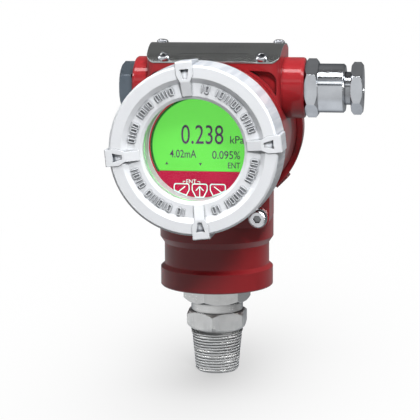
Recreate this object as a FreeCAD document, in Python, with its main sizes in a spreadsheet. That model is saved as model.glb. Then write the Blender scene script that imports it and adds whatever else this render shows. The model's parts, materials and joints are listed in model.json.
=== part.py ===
"""Pressure transmitter: a two-compartment cast housing on a neck, with a windowed display cover in front,
a blind cover behind, two conduit entries and a tapered process thread below.

Units are millimetres. The origin is the centre of the process thread's lower end, +Z runs up the neck,
the display looks along -Y and the cable gland stands on the +X side.
"""
import FreeCAD, Part
import Sketcher
import os
import re

SIZES = {
    # The barrel axis stands this high above the thread's lower end; other heights are taken from it
    "barrel_height": 105, "conduit_rise": 21, "plate_rise": 40.3, "ground_drop": 32.4,
    # Barrel: shoulders are measured from the neck axis, spigots carry the cover threads
    "spigot_r": 30.2, "spigot_wall": 3, "spigot_len": 10.5, "spigot_edge": 0.8,
    "shoulder_step": 2.1, "barrel_front": 41.5, "barrel_rear": 28, "barrel_edge": 0.7,
    "bulkhead_front": 13.5, "bulkhead_depth": 4,
    # Neck, from its mouth upwards
    "mouth_height": 38.9, "flange_r": 24.8, "flange_len": 8.3, "flange_slope": 1.5, "flange_edge": 0.5,
    "recess_r": 23.1, "recess_len": 9.3, "collar_r": 25, "collar_slope": 2.8,
    "neck_bore_r": 13.5, "neck_bore_len": 13.1, "chamber_r": 20, "chamber_len": 14,
    "wire_hole_r": 2.8, "wire_hole_forward": 16.8,
    # Conduit entries
    "boss_r": 13.2, "boss_reach": 39.2, "plug_boss_reach": 35.2, "boss_edge": 1.1, "entry_r": 9.3,
    "entry_inner": 15,
    # Platform under the nameplate: arched from front to back and a little off the neck axis
    "plate_thick": 0.5, "plate_fit": 0.03, "arch_r": 25, "platform_front": 17.5, "platform_rear": 11,
    "platform_half": 29.4, "platform_shift": 0.8, "platform_draw_in": 0.8, "plate_overhang": 0.2,
    "plate_relief": 0.3, "platform_corner": 4, "platform_foot_rise": 7, "web_pocket": 3, "web_rim": 1.9,
    "web_side": 1.3, "web_clear": 1.3, "web_corner": 4.5, "web_inner": 5, "web_drop": 0.8, "web_fall": 1,
    # Ground terminal on the side of the neck
    "ground_across": 21.5, "ground_face": 25, "ground_boss_r": 4.7, "ground_boss_edge": 0.6,
    "ground_boss_len": 17, "ground_web_in": 8, "ground_web_step": 0.9, "ground_spot_clear": 0.25,
    "washer_thick": 0.8, "washer_r": 4.1, "washer_tab": 6.4, "washer_tab_width": 3.2, "washer_turn": 130,
    # Covers
    "cover_gap": 1, "cover_wall": 4.8, "cover_taper": 0.8, "cover_edge": 0.9, "cover_bore_clear": 0.3,
    "spigot_end_gap": 0.4, "rear_cover_head": 7.1, "rear_cover_wall": 4,
    "ring_width": 5.1, "ring_slope": 2.05, "ring_step": 1.6, "bevel_width": 1.2, "bevel_step": 0.8,
    "window_r": 20.6, "window_lip": 4.5, "glass_ledge": 3.6, "glass_thick": 4.3, "glass_clear": 0.1,
    "keeper_rim": 2.7, "keeper_thick": 1.3, "keeper_inset": 1.2,
    "lug_overhang": 0.8, "lug_half": 3.4, "lug_pad_len": 5.5, "spoke_half": 2, "spoke_rise": 0.65,
    "lug_proud": 0.4, "lug_foot": 3.5, "lug_turn": 5.7, "rear_lug_turn": 45,
    "pocket_rim": 3.2, "pocket_len": 3.9, "pocket_outer_half": 1.8, "pocket_inner_half": 0.8,
    "pocket_depth": 2.2, "pocket_shallow": 0.88,
    "cover_seal_r": 0.9, "cover_seal_fit": 0.2, "cover_seal_room": 0.1, "cover_seal_in": 1.6,
    # Display unit in the front compartment
    "board_clear": 1.2, "board_thick": 1.6, "standoff_len": 10.5, "standoff_r": 2.5,
    "small_screw_r": 1.2, "small_hole_r": 1.25, "small_stub": 3, "board_screw_len": 7,
    "small_head_r": 2.3, "small_head_len": 1.6, "small_head_room": 1.2,
    "display_clear": 1.7, "display_gap": 0.4, "display_wall": 2, "tube_wall": 4.1, "tube_depth": 8,
    "floor_thick": 2.4, "overlay_fit": 0.1, "overlay_thick": 0.5, "lcd_border": 1.5, "label_band": 8.1,
    "lcd_rim": 0.4, "lcd_thick": 1.5, "lcd_fit": 0.05,
    "key_web": 0.9, "key_inset": 2.7, "key_half": 3.3, "key_rise": 3.1, "key_shoulder": 0.4,
    "key_fall": 3.2, "key_toe": 1.4, "key_gap": 0.15, "key_clip": 0.2, "key_proud": 0.4, "key_len": 1.7,
    "key_well": 1.5, "key_corner": 1.1,
    # Terminal compartment
    "block_margin": 1.5, "block_foot": 0.3, "block_rise": 8, "block_depth": 14, "rib_thick": 1.2,
    "rib_depth": 3.2, "rib_drop": 9, "terminal_clear": 0.1, "terminal_drop": 1,
    "terminal_head_r": 2.4, "terminal_head_len": 2, "terminal_screw_r": 1.4, "terminal_len": 8,
    "terminal_fit": 0.05, "block_screw_across": 11.5, "block_screw_clear": 0.1,
    "feed_above": 1.1, "feed_r": 4.4, "feed_rim": 1.1, "feed_rim_len": 1.2, "feed_fit": 0.05,
    # Cable gland, blanking plug and their sealing washers
    "seal_thick": 0.8, "seal_width": 1.3, "entry_fit": 0.05, "entry_thread_len": 15,
    "gland_corner_r": 12.8, "gland_hex_len": 5.6, "gland_barrel_r": 10.55, "gland_barrel_len": 11.5,
    "gland_edge": 0.8, "gland_through_r": 5, "gland_chamber_r": 7.2, "gland_chamber_len": 13,
    "bush_len": 5.6, "cable_r": 4.2, "thrust_thick": 0.8, "thrust_clear": 0.2,
    "gland_shank_clear": 0.1, "gland_shank_gap": 2.6, "gland_nut_corner_r": 11.4, "gland_nut_len": 5,
    "gland_nut_bore_r": 4.6, "plug_corner_r": 11, "plug_hex_len": 6.1, "plug_wall": 2.75,
    # Sensor and process connection
    "sensor_corner_r": 15, "sensor_hex_len": 7.3, "sensor_hex_turn": 76, "sensor_low_r": 11.5,
    "stem_clear": 0.1, "stem_len": 12.1, "stem_bore_r": 9, "wire_duct_r": 2, "wire_duct_len": 4,
    "adapter_top": 27.3, "adapter_corner_r": 14.3, "adapter_hex_turn": -90, "thread_top": 17,
    "thread_top_r": 11.05, "thread_low_r": 9.55, "thread_edge": 0.9, "adapter_groove": 0.8,
    "socket_r": 9.5, "socket_fit": 0.1, "socket_floor": 21, "port_r": 2.5, "port_cup_r": 5.4,
    "port_cup_depth": 2, "capsule_r": 7.4, "capsule_fit": 0.1, "capsule_len": 7.6,
    "membrane_r": 5.6, "membrane_step": 0.5, "capsule_seal_r": 0.7, "capsule_seal_in": 0.1,
    "sensor_board_in": 1, "neck_seal_r": 0.8,
    # Screws
    "plate_screw_r": 1.4, "plate_hole_r": 1.45, "plate_head_r": 2.5, "plate_head_len": 1.7,
    "plate_screw_len": 6, "rear_screw_in": 3.6, "rear_screw_tilt": 15,
    "front_screw_in": 7.6, "front_screw_tilt": 40,
    "ground_screw_r": 1.9, "ground_hole_r": 1.95, "ground_head_r": 3.5, "ground_head_len": 2.6,
    "ground_screw_len": 10, "drill_extra": 2, "overrun": 1, "head_edge": 0.6, "socket_share": 0.5,
    "socket_depth": 0.55, "point_share": 0.7, "nut_slope": 0.09, "nut_face": 0.88,
}

# Sizes that follow from the ones above, so that pieces which fit together change together
FOLLOWING = {
    "barrel_r": "spigot_r + shoulder_step",
    "cavity_r": "spigot_r - spigot_wall",
    "conduit_height": "barrel_height + conduit_rise",
    "plate_top": "barrel_height + plate_rise",
    "ground_height": "barrel_height - ground_drop",
    "platform_foot": "barrel_height + platform_foot_rise",
    "boss_top": "conduit_height + boss_r / 2",
    "platform_front_half": "platform_half - platform_draw_in",
    "recess_top": "mouth_height + flange_len + flange_slope + recess_len",
    "cover_r": "spigot_r + cover_wall",
    "cover_face_r": "cover_r - cover_taper",
    "cover_bore_r": "spigot_r + cover_bore_clear",
    "cover_bore_len": "spigot_len - cover_gap + spigot_end_gap",
    "groove_r": "spigot_r + cover_seal_fit + cover_seal_r * 2 + cover_seal_room",
    "groove_top": "cover_seal_in + (cover_seal_r + cover_seal_room) * 2",
    "window_ledge": "cover_bore_len + keeper_thick + glass_thick",
    "cover_len": "window_ledge + window_lip",
    "rear_cover_len": "cover_bore_len + rear_cover_head",
    "ring_inner_r": "cover_face_r - ring_width",
    "ring_foot_r": "ring_inner_r - ring_slope",
    "bevel_r": "window_r + bevel_width",
    "glass_r": "window_r + glass_ledge",
    "keeper_r": "glass_r + keeper_rim",
    "keeper_inner_r": "window_r + keeper_inset",
    "lug_reach": "cover_r + lug_overhang",
    "lug_pad": "lug_reach - lug_pad_len",
    "spoke_start": "ring_foot_r + spoke_rise",
    "pocket_outer": "lug_reach - pocket_rim",
    "pocket_inner": "pocket_outer - pocket_len",
    "board_r": "cavity_r - board_clear",
    "board_back": "bulkhead_front + standoff_len",
    "board_face": "board_back + board_thick",
    "display_r": "cavity_r - display_clear",
    "display_len": "barrel_front + cover_gap + cover_bore_len - display_gap - board_face",
    "tube_r": "display_r - tube_wall",
    "floor_front": "display_len - tube_depth",
    "floor_back": "floor_front - floor_thick",
    "floor_face": "board_face + floor_front",
    "standoff_circle": "display_r - display_wall - small_head_r - small_head_room",
    "overlay_r": "tube_r - overlay_fit",
    "lcd_r": "overlay_r - lcd_border",
    "key_clip_r": "overlay_r - key_clip",
    "key_drop": "key_clip_r - key_inset",
    "key_pitch": "key_half * 2 + key_web",
    "lcd_drop": "key_drop - label_band",
    "block_rear": "bulkhead_depth - bulkhead_front",
    "block_face": "block_rear + block_depth",
    "terminal_pitch": "(terminal_head_r + terminal_clear) * 2 + rib_thick",
    "terminal_height": "barrel_height - terminal_drop",
    "block_half": "terminal_pitch * 2 + rib_thick / 2 + block_margin",
    "rib_low": "barrel_height - rib_drop",
    "block_screw_height": "rib_low - block_screw_clear - small_head_r",
    "block_screw_len": "block_depth + small_stub",
    "block_low": "block_screw_height - small_head_r - block_foot",
    "block_high": "barrel_height + block_rise",
    "feed_height": "block_high + feed_above + feed_rim + feed_r",
    "seal_r": "entry_r + seal_width",
    "entry_thread_r": "entry_r - entry_fit",
    "plug_core_r": "entry_thread_r - plug_wall",
    "thrust_r": "gland_chamber_r - thrust_clear",
    "gland_shank_r": "gland_chamber_r - gland_shank_clear",
    "gland_floor": "boss_reach + gland_hex_len + gland_barrel_len - gland_chamber_len",
    "nut_seat": "boss_reach + gland_hex_len + gland_barrel_len + gland_shank_gap",
    "sensor_hex_low": "mouth_height - sensor_hex_len",
    "stem_r": "neck_bore_r - stem_clear",
    "neck_seal_mid": "stem_r + neck_seal_r",
    "sensor_board_r": "neck_bore_r - sensor_board_in",
    "plug_in_r": "socket_r - socket_fit",
    "port_cup_floor": "socket_floor - port_cup_depth",
    "capsule_low": "socket_floor + capsule_seal_r * 2",
    "capsule_seat": "capsule_low + capsule_len",
    "capsule_seal_mid": "capsule_r - capsule_seal_r - capsule_seal_in",
    "stem_floor": "capsule_seat + wire_duct_len",
    "rear_screw_across": "platform_half - rear_screw_in",
    "front_screw_across": "platform_front_half - front_screw_in",
}

doc = FreeCAD.newDocument("pressure_transmitter")
sheet = doc.addObject("Spreadsheet::Sheet", "Sizes")
for row, (alias, size) in enumerate(SIZES.items(), 1):
    sheet.set(f"A{row}", alias)
    sheet.set(f"B{row}", str(size))
    sheet.setAlias(f"B{row}", alias)
doc.recompute()

UP = FreeCAD.Rotation()
FRONT = FreeCAD.Rotation(FreeCAD.Vector(1, 0, 0), 90)
REAR = FreeCAD.Rotation(FreeCAD.Vector(1, 0, 0), -90)
RIGHT = FreeCAD.Rotation(FreeCAD.Vector(0, 1, 0), 90)
LEFT = FreeCAD.Rotation(FreeCAD.Vector(0, 1, 0), -90)
SIDES = (-1, 1)
ENTRY_FACES = ("plug_boss_reach", "boss_reach")


def formula(text):
    """Turn the size names in a formula into references to the sheet."""
    def written_out(word):
        if word[0] in FOLLOWING:
            return f"({formula(FOLLOWING[word[0]])})"
        return "Sizes." + word[0] if word[0] in SIZES else word[0]
    return re.sub(r"[a-z]\w+", written_out, text)


def number(text):
    """Work out a formula's present value."""
    return float(sheet.evalExpression(formula(text)))


def bind(thing, **sizes):
    for name, text in sizes.items():
        thing.setExpression(name, formula(text))
    return thing


def place(thing, x="0", y="0", z="0", turn=UP):
    """Put a thing at a point given by formulas, with its own +Z along the turn."""
    thing.Placement = FreeCAD.Placement(FreeCAD.Vector(number(x), number(y), number(z)), turn)
    for axis, text in (("x", x), ("y", y), ("z", z)):
        if text != "0":
            thing.setExpression(f"Placement.Base.{axis}", formula(text))
    return thing


def cylinder(label, radius, length, **where):
    rod = doc.addObject("Part::Cylinder", label)
    return place(bind(rod, Radius=radius, Height=length), **where)


def box(label, across, deep, high, **where):
    block = doc.addObject("Part::Box", label)
    return place(bind(block, Length=across, Width=deep, Height=high), **where)


def ring(label, middle, section, **where):
    torus = doc.addObject("Part::Torus", label)
    return place(bind(torus, Radius1=middle, Radius2=section), **where)


def fuse(label, *parts):
    joined = doc.addObject("Part::MultiFuse", label)
    joined.Shapes = list(parts)
    joined.Refine = True
    return joined


def common(label, *parts):
    shared = doc.addObject("Part::MultiCommon", label)
    shared.Shapes = list(parts)
    return shared


def cut(label, base, *tools):
    result = doc.addObject("Part::Cut", label)
    result.Base = base
    result.Tool = tools[0] if len(tools) == 1 else fuse(label + "_tools", *tools)
    return result


def group(label, parts):
    together = doc.addObject("Part::Compound", label)
    together.Links = parts
    return together


def draw(sketch, points):
    """Draw a closed outline through (across, up) formulas, each point held by its own dimensions."""
    spots = [FreeCAD.Vector(number(across), number(up), 0) for across, up in points]
    for start, end in zip(spots, spots[1:] + spots[:1]):
        sketch.addGeometry(Part.LineSegment(start, end))
    for index, (across, up) in enumerate(points):
        following = (index + 1) % len(points)
        sketch.addConstraint(Sketcher.Constraint("Coincident", index, 2, following, 1))
        for kind, text, axis in (("DistanceX", across, -2), ("DistanceY", up, -1)):
            if text == "0":
                sketch.addConstraint(Sketcher.Constraint("PointOnObject", index, 1, axis))
            else:
                held = Sketcher.Constraint(kind, -1, 1, index, 1, number(text))
                sketch.setExpression(f"Constraints[{sketch.addConstraint(held)}]", formula(text))


def sketched(label, plane, points):
    """Start a body with one sketch on its own origin plane."""
    body = doc.addObject("PartDesign::Body", label)
    sketch = body.newObject("Sketcher::SketchObject", label + "_sketch")
    flat = next(part for part in body.Origin.OriginFeatures if part.Role == plane)
    sketch.AttachmentSupport = (flat, [""])
    sketch.MapMode = "FlatFace"
    draw(sketch, points)
    return body, sketch


def turned(label, points, **where):
    """Revolve a (radius, height) outline about the body's own Z axis."""
    body, sketch = sketched(label, "XZ_Plane", points)
    revolution = body.newObject("PartDesign::Revolution", label + "_turn")
    revolution.Profile = sketch
    revolution.ReferenceAxis = (sketch, ["V_Axis"])
    revolution.Angle = 360
    return place(body, **where)


def slab(label, plane, points, length, both_ways=False, **where):
    """Pad an outline square to one of the body's origin planes."""
    body, sketch = sketched(label, plane, points)
    pad = body.newObject("PartDesign::Pad", label + "_pad")
    pad.Profile = sketch
    pad.Midplane = both_ways
    bind(pad, Length=length)
    return place(body, **where)


def rounded(body, radius, wanted):
    """Round the edges of a body's last feature whose middle passes the test."""
    doc.recompute()
    tip = body.Tip
    names = [f"Edge{n}" for n, edge in enumerate(tip.Shape.Edges, 1) if wanted(edge)]
    fillet = body.newObject("PartDesign::Fillet", body.Name + "_rounds")
    fillet.Base = (tip, names)
    bind(fillet, Radius=radius)
    return body


def along_y(edge):
    """True for a straight edge that runs along Y."""
    return abs(edge.tangentAt(edge.FirstParameter).y) > 0.99 and edge.Curve.TypeId == "Part::GeomLine"


def upright(edge):
    """True for an edge that runs along the body's own Z axis."""
    return abs(edge.tangentAt(edge.FirstParameter).z) > 0.99 and edge.Curve.TypeId == "Part::GeomLine"


def spun(angle="0"):
    """A turn about the own Z axis by a formula in degrees."""
    return FreeCAD.Rotation(FreeCAD.Vector(0, 0, 1), number(angle))


def hexagon(label, corner_r, length, turn_deg="0", **where):
    """A hexagon bar with both ends chamfered as on a nut."""
    bar = bind(doc.addObject("Part::Prism", label + "_bar"), Circumradius=corner_r, Height=length)
    bar.Polygon = 6
    slope, face_r = f"{corner_r} * nut_slope", f"{corner_r} * nut_face"
    limit = turned(label + "_limit", [
        ("0", "0"), (face_r, "0"), (corner_r, slope), (corner_r, f"{length} - {slope}"),
        (face_r, length), ("0", length)])
    nut = common(label, bar, limit)
    return place(nut, **{**where, "turn": where.get("turn", UP).multiply(spun(turn_deg))})


def screw(label, head_r, head_len, shank_r, shank_len, **where):
    """A pan-head screw with its seat at its own origin and a hexagon socket in the head."""
    body = turned(label + "_turned", [
        ("0", f"-{shank_len}"), (f"{shank_r} * point_share", f"-{shank_len}"),
        (shank_r, f"{shank_r} * (1 - point_share) - {shank_len}"), (shank_r, "0"), (head_r, "0"),
        (head_r, f"{head_len} - head_edge"), (f"{head_r} - head_edge", head_len), ("0", head_len)])
    socket = bind(doc.addObject("Part::Prism", label + "_socket"),
                  Circumradius=f"{head_r} * socket_share", Height=head_len)
    socket.Polygon = 6
    place(socket, z=f"{head_len} * (1 - socket_depth)")
    return place(cut(label, body, socket), **where)


# ---------------------------------------------------------------- housing

def barrel_blank():
    front = "barrel_front + spigot_len"
    rear = "-(barrel_rear + spigot_len)"
    return turned("barrel_blank", [
        ("0", rear), ("spigot_r - spigot_edge", rear), ("spigot_r", f"{rear} + spigot_edge"),
        ("spigot_r", "-barrel_rear"), ("barrel_r - barrel_edge", "-barrel_rear"),
        ("barrel_r", "barrel_edge - barrel_rear"), ("barrel_r", "barrel_front - barrel_edge"),
        ("barrel_r - barrel_edge", "barrel_front"), ("spigot_r", "barrel_front"),
        ("spigot_r", f"{front} - spigot_edge"), ("spigot_r - spigot_edge", front), ("0", front),
    ], z="barrel_height", turn=FRONT)


def neck_blank():
    flange_top = "mouth_height + flange_len"
    return turned("neck_blank", [
        ("0", "mouth_height"), ("flange_r - flange_edge", "mouth_height"),
        ("flange_r", "mouth_height + flange_edge"), ("flange_r", flange_top),
        ("recess_r", f"{flange_top} + flange_slope"), ("recess_r", "recess_top"),
        ("collar_r", "recess_top + collar_slope"), ("collar_r", "barrel_height - cavity_r / 2"),
        ("0", "barrel_height - cavity_r / 2"),
    ])


def conduit_blank():
    return turned("conduit_blank", [
        ("0", "-plug_boss_reach"), ("boss_r - boss_edge", "-plug_boss_reach"),
        ("boss_r - boss_edge / 3", "boss_edge / 3 - plug_boss_reach"),
        ("boss_r", "boss_edge - plug_boss_reach"), ("boss_r", "boss_reach - boss_edge"),
        ("boss_r - boss_edge / 3", "boss_reach - boss_edge / 3"),
        ("boss_r - boss_edge", "boss_reach"), ("0", "boss_reach"),
    ], z="conduit_height", turn=RIGHT)


def plan_outline(label, overhang, low, high):
    """The platform seen from above: square behind, drawn in and rounded at the front."""
    front = f"-(platform_front + {overhang})"
    body = slab(label, "XY_Plane", [
        ("-platform_half", "platform_rear"), ("-platform_half", "0"), ("-platform_front_half", front),
        ("platform_front_half", front), ("platform_half", "0"), ("platform_half", "platform_rear"),
    ], f"{high} - {low}", x="platform_shift", z=low)
    return rounded(body, "platform_corner",
                   lambda edge: upright(edge) and edge.CenterOfMass.y < -number("platform_front") / 2)


def arch(label, radius):
    """The curve that the nameplate follows, as a bar across the whole platform."""
    return cylinder(label, radius, "platform_half * 2", x="platform_shift - platform_half",
                    z="plate_top - arch_r", turn=RIGHT)


def platform_blank():
    return common("platform_blank", arch("platform_arch", "arch_r - plate_thick - plate_fit"),
                  plan_outline("platform_plan", "0", "platform_foot", "plate_top"))


def web_pocket(side):
    """The hollow under the platform's front corner, bounded by a rim and by the barrel."""
    name = "web_pocket_" + ("left" if side < 0 else "right")
    edge_rise = "sqrt((arch_r - plate_thick) ^ 2 - platform_front ^ 2)"
    top = f"plate_top - arch_r + {edge_rise} - web_rim - web_drop"
    outer = f"platform_shift + {side} * (platform_front_half - web_side)"
    outline = slab(name + "_outline", "XZ_Plane", [
        (f"{side} * web_inner", "barrel_height"), (outer, "barrel_height"),
        (outer, f"{top} - web_fall"), (f"{side} * web_inner", top)],
        "web_pocket * 2", y="web_pocket - platform_front")
    rounded(outline, "web_corner", lambda edge: along_y(edge) and edge.CenterOfMass.z > number("boss_top")
            and abs(edge.CenterOfMass.x) > number("platform_half") / 2)
    return cut(name, outline, cylinder(name + "_barrel", "barrel_r + web_clear", "platform_front * 2",
                                       z="barrel_height", turn=FRONT))


def ground_blank():
    """A round boss for the earth screw on a pad that runs in to the neck and up to the barrel."""
    rear = "-ground_boss_len"
    stub = turned("ground_boss", [
        ("0", rear), ("ground_boss_r", rear), ("ground_boss_r", "-ground_boss_edge"),
        ("ground_boss_r - ground_boss_edge", "0"), ("0", "0")],
        x="ground_across", y="-ground_face", z="ground_height", turn=FRONT)
    pad = slab("ground_pad", "XZ_Plane", [
        ("ground_web_in", "ground_height - ground_boss_r"),
        ("ground_across", "ground_height - ground_boss_r"), ("ground_across", "ground_height"),
        ("ground_across + ground_boss_r", "ground_height"),
        ("ground_across + ground_boss_r", "ground_height + ground_boss_r * 2"),
        ("ground_web_in", "ground_height + ground_boss_r * 2")],
        "ground_boss_len - ground_web_step", y="ground_boss_len - ground_face")
    return fuse("ground_blank", stub, pad)


def washer_outline(label, grow, length):
    """The earth washer with its tab, or with room around it the spot face that clears it."""
    seat = {"x": "ground_across", "y": "-ground_face", "z": "ground_height"}
    disc = cylinder(label + "_disc", f"washer_r + {grow}", length, turn=FRONT, **seat)
    half, tip = f"(washer_tab_width / 2 + {grow})", f"washer_tab + {grow}"
    tab = slab(label + "_tab", "XY_Plane", [("0", f"-{half}"), (tip, f"-{half}"), (tip, half), ("0", half)],
               length, turn=FRONT.multiply(spun("washer_turn")), **seat)
    return fuse(label, disc, tab)


def housing():
    centre = "barrel_height"
    front_end = "barrel_front + spigot_len"
    blank = fuse("housing_blank", barrel_blank(), neck_blank(), conduit_blank(), platform_blank(),
                 ground_blank())
    tools = [
        cylinder("front_cavity", "cavity_r", f"{front_end} - bulkhead_front + drill_extra",
                 y="-bulkhead_front", z=centre, turn=FRONT),
        cylinder("rear_cavity", "cavity_r",
                 "barrel_rear + spigot_len - block_rear + drill_extra",
                 y="block_rear", z=centre, turn=REAR),
        cylinder("neck_bore", "neck_bore_r", "neck_bore_len + drill_extra",
                 z="mouth_height - drill_extra"),
        cylinder("neck_chamber", "chamber_r", "chamber_len", z="mouth_height + neck_bore_len"),
        cylinder("wire_hole", "wire_hole_r",
                 "barrel_height - cavity_r + wire_hole_r * 2 - mouth_height - neck_bore_len",
                 y="-wire_hole_forward", z="mouth_height + neck_bore_len"),
        ring("neck_seal_groove", "neck_seal_mid", "neck_seal_r", z="mouth_height + neck_seal_r"),
        cylinder("neck_seal_mouth", "neck_seal_mid + neck_seal_r", "neck_seal_r + drill_extra",
                 z="mouth_height - drill_extra"),
        cylinder("feed_hole", "feed_r + feed_fit", "bulkhead_depth + drill_extra",
                 y="block_rear + drill_extra / 2", z="feed_height", turn=FRONT),
        cylinder("ground_hole", "ground_hole_r", "ground_screw_len + drill_extra",
                 x="ground_across", y="-ground_face", z="ground_height", turn=REAR),
        washer_outline("ground_spot_face", "ground_spot_clear", "ground_boss_len"),
    ]
    for side, turn, face in zip(SIDES, (LEFT, RIGHT), ENTRY_FACES):
        tools.append(web_pocket(side))
        tools.append(cylinder("entry_hole", "entry_r", "boss_reach", x=f"{side} * entry_inner",
                              z="conduit_height", turn=turn))
        tools.append(cylinder("seal_seat", "seal_r + entry_fit", "seal_thick + drill_extra",
                              x=f"{side} * ({face} - seal_thick)", z="conduit_height", turn=turn))
        tools.append(cylinder("block_screw_hole", "small_hole_r", "small_stub",
                              x=f"{side} * block_screw_across",
                              y="block_rear - small_stub",
                              z="block_screw_height", turn=REAR))
    reach = "(plate_screw_len + drill_extra)"
    for index, (turn, x, y, z, lean_y, lean_z) in enumerate(plate_screw_places()):
        tools.append(cylinder(f"plate_hole_{index}", "plate_hole_r", f"{reach} + drill_extra", x=x,
                              y=f"{y} - {reach} * {lean_y}", z=f"{z} - {reach} * {lean_z}", turn=turn))
    for place_name, x, z in standoff_places():
        tools.append(cylinder(f"standoff_hole_{place_name}", "small_hole_r", "small_stub",
                              x=x, y="small_stub - bulkhead_front", z=z, turn=FRONT))
    return cut("housing", blank, *tools)


# ---------------------------------------------------------------- places of repeated pieces

def plate_screw_places():
    """Turn, seat and direction of the nameplate screws: on each side one behind the crest, one before it."""
    for side in SIDES:
        for across, tilt in (("rear_screw_across", "-rear_screw_tilt"),
                             ("front_screw_across", "front_screw_tilt")):
            lean = FreeCAD.Rotation(FreeCAD.Vector(1, 0, 0), number(tilt))
            slope = f"{tilt} * 1 deg"
            yield (lean, f"platform_shift + {side} * {across}", f"-arch_r * sin({slope})",
                   f"plate_top - arch_r + arch_r * cos({slope})", f"(-sin({slope}))", f"cos({slope})")


def standoff_places():
    """Three points on the standoff circle, one below the barrel axis and two above."""
    rise = "barrel_height + standoff_circle / 2"
    reach = "(standoff_circle * cos(30 deg))"
    return (("low", "0", "barrel_height - standoff_circle"),
            ("left", f"-{reach}", rise), ("right", reach, rise))


# ---------------------------------------------------------------- covers

def cover_skirt(length):
    """The outline that both covers share: thread bore, seal groove, tapered side and rim."""
    return [
        ("cover_bore_r", "groove_top"), ("groove_r", "groove_top"), ("groove_r", "cover_seal_in"),
        ("cover_bore_r", "cover_seal_in"), ("cover_bore_r", "0"), ("cover_r - cover_edge / 2", "0"),
        ("cover_r", "cover_edge / 2"), ("cover_r", "cover_edge * 2"),
        ("cover_face_r", f"{length} - cover_edge"), ("cover_face_r - cover_edge", length),
        ("ring_inner_r", length), ("ring_foot_r", f"{length} - ring_step"),
    ]


def lug(label, length, turn_deg):
    """A grip lug on the rim with a spoke that slopes down to the dished face, and its moulded pocket."""
    top = f"({length} + lug_proud)"
    dish = f"({length} - ring_step)"
    plan = slab(label + "_plan", "XY_Plane", [
        ("bevel_r", "-spoke_half"), ("spoke_start", "-spoke_half"), ("lug_pad", "-lug_half"),
        ("lug_reach", "-lug_half"), ("lug_reach", "lug_half"), ("lug_pad", "lug_half"),
        ("spoke_start", "spoke_half"), ("bevel_r", "spoke_half")], top)
    side = slab(label + "_side", "XZ_Plane", [
        ("bevel_r", f"{dish} - ring_step"), ("bevel_r", f"{dish} + lug_proud"), ("spoke_start", top),
        ("lug_reach - lug_proud", top), ("lug_reach", f"{top} - lug_proud * 2"),
        ("lug_reach", "lug_foot + lug_proud * 3"), ("cover_r - cover_edge", "lug_foot"),
        ("cover_r - cover_edge * 2", f"{dish} - ring_step")], "lug_half * 2", both_ways=True)
    hollow_plan = slab(label + "_hollow_plan", "XY_Plane", [
        ("pocket_inner", "-pocket_inner_half"), ("pocket_outer", "-pocket_outer_half"),
        ("pocket_outer", "pocket_outer_half"), ("pocket_inner", "pocket_inner_half")], f"{top} * 2")
    hollow_side = slab(label + "_hollow_side", "XZ_Plane", [
        ("pocket_inner", f"{top} - pocket_shallow"), ("pocket_outer", f"{top} - pocket_depth"),
        ("pocket_outer", f"{top} * 2"), ("pocket_inner", f"{top} * 2")], "lug_half * 2", both_ways=True)
    return (place(common(label, plan, side), turn=spun(turn_deg)),
            place(common(label + "_hollow", hollow_plan, hollow_side), turn=spun(turn_deg)))


def cover(label, length, outline, first_turn, **where):
    lugs, hollows = zip(*(lug(f"{label}_lug_{step}", length, f"{first_turn} + {step * 90}")
                          for step in range(4)))
    blank = fuse(label + "_blank", turned(label + "_turned", outline), *lugs)
    return place(cut(label, blank, *hollows), **where)


FRONT_COVER_SEAT = {"y": "-(barrel_front + cover_gap)", "z": "barrel_height", "turn": FRONT}
REAR_COVER_SEAT = {"y": "barrel_rear + cover_gap", "z": "barrel_height", "turn": REAR}


def front_cover():
    dish = "cover_len - ring_step"
    ledge = "window_ledge"
    outline = cover_skirt("cover_len") + [
        ("bevel_r", dish), ("window_r", f"{dish} - bevel_step"), ("window_r", ledge),
        ("glass_r + glass_clear", ledge), ("glass_r + glass_clear", f"{ledge} - glass_thick"),
        ("keeper_r + glass_clear", f"{ledge} - glass_thick"),
        ("keeper_r + glass_clear", "cover_bore_len"), ("cover_bore_r", "cover_bore_len")]
    return cover("front_cover", "cover_len", outline, "lug_turn", **FRONT_COVER_SEAT)


def rear_cover():
    dish = "rear_cover_len - ring_step"
    outline = cover_skirt("rear_cover_len") + [
        ("0", dish), ("0", f"{dish} - rear_cover_wall"), ("cover_bore_r", f"{dish} - rear_cover_wall")]
    return cover("rear_cover", "rear_cover_len", outline, "rear_lug_turn", **REAR_COVER_SEAT)


def cover_seal(label, seat):
    away = "cover_seal_in + cover_seal_r + cover_seal_room"
    sign = "-" if seat["turn"] is FRONT else "+"
    return ring(label, "spigot_r + cover_seal_fit + cover_seal_r", "cover_seal_r",
                **{**seat, "y": f"{seat['y']} {sign} ({away})"})


def window_glass():
    return cylinder("window_glass", "glass_r", "glass_thick", **{
        **FRONT_COVER_SEAT, "y": "-(barrel_front + cover_gap + cover_bore_len + keeper_thick)"})


def window_keeper():
    return turned("window_retaining_ring", [
        ("keeper_inner_r", "0"), ("keeper_r", "0"), ("keeper_r", "keeper_thick"),
        ("keeper_inner_r", "keeper_thick")],
        **{**FRONT_COVER_SEAT, "y": "-(barrel_front + cover_gap + cover_bore_len)"})


# ---------------------------------------------------------------- display unit

def main_board():
    board = cylinder("board_disc", "board_r", "board_thick", y="-board_back", z="barrel_height",
                     turn=FRONT)
    holes = [cylinder(f"board_hole_{name}", "small_hole_r", "board_thick * 3", x=x,
                      y="board_thick - board_back", z=z, turn=FRONT) for name, x, z in standoff_places()]
    return cut("main_board", board, *holes)


def board_standoffs():
    depth = "standoff_len - board_screw_len"
    return group("board_standoffs", [turned(f"standoff_{name}", [
        ("0", "-small_stub"), ("small_screw_r", "-small_stub"), ("small_screw_r", "0"),
        ("standoff_r", "0"), ("standoff_r", "standoff_len"), ("small_hole_r", "standoff_len"),
        ("small_hole_r", depth), ("0", depth)],
        x=x, y="-bulkhead_front", z=z, turn=FRONT) for name, x, z in standoff_places()])


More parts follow.
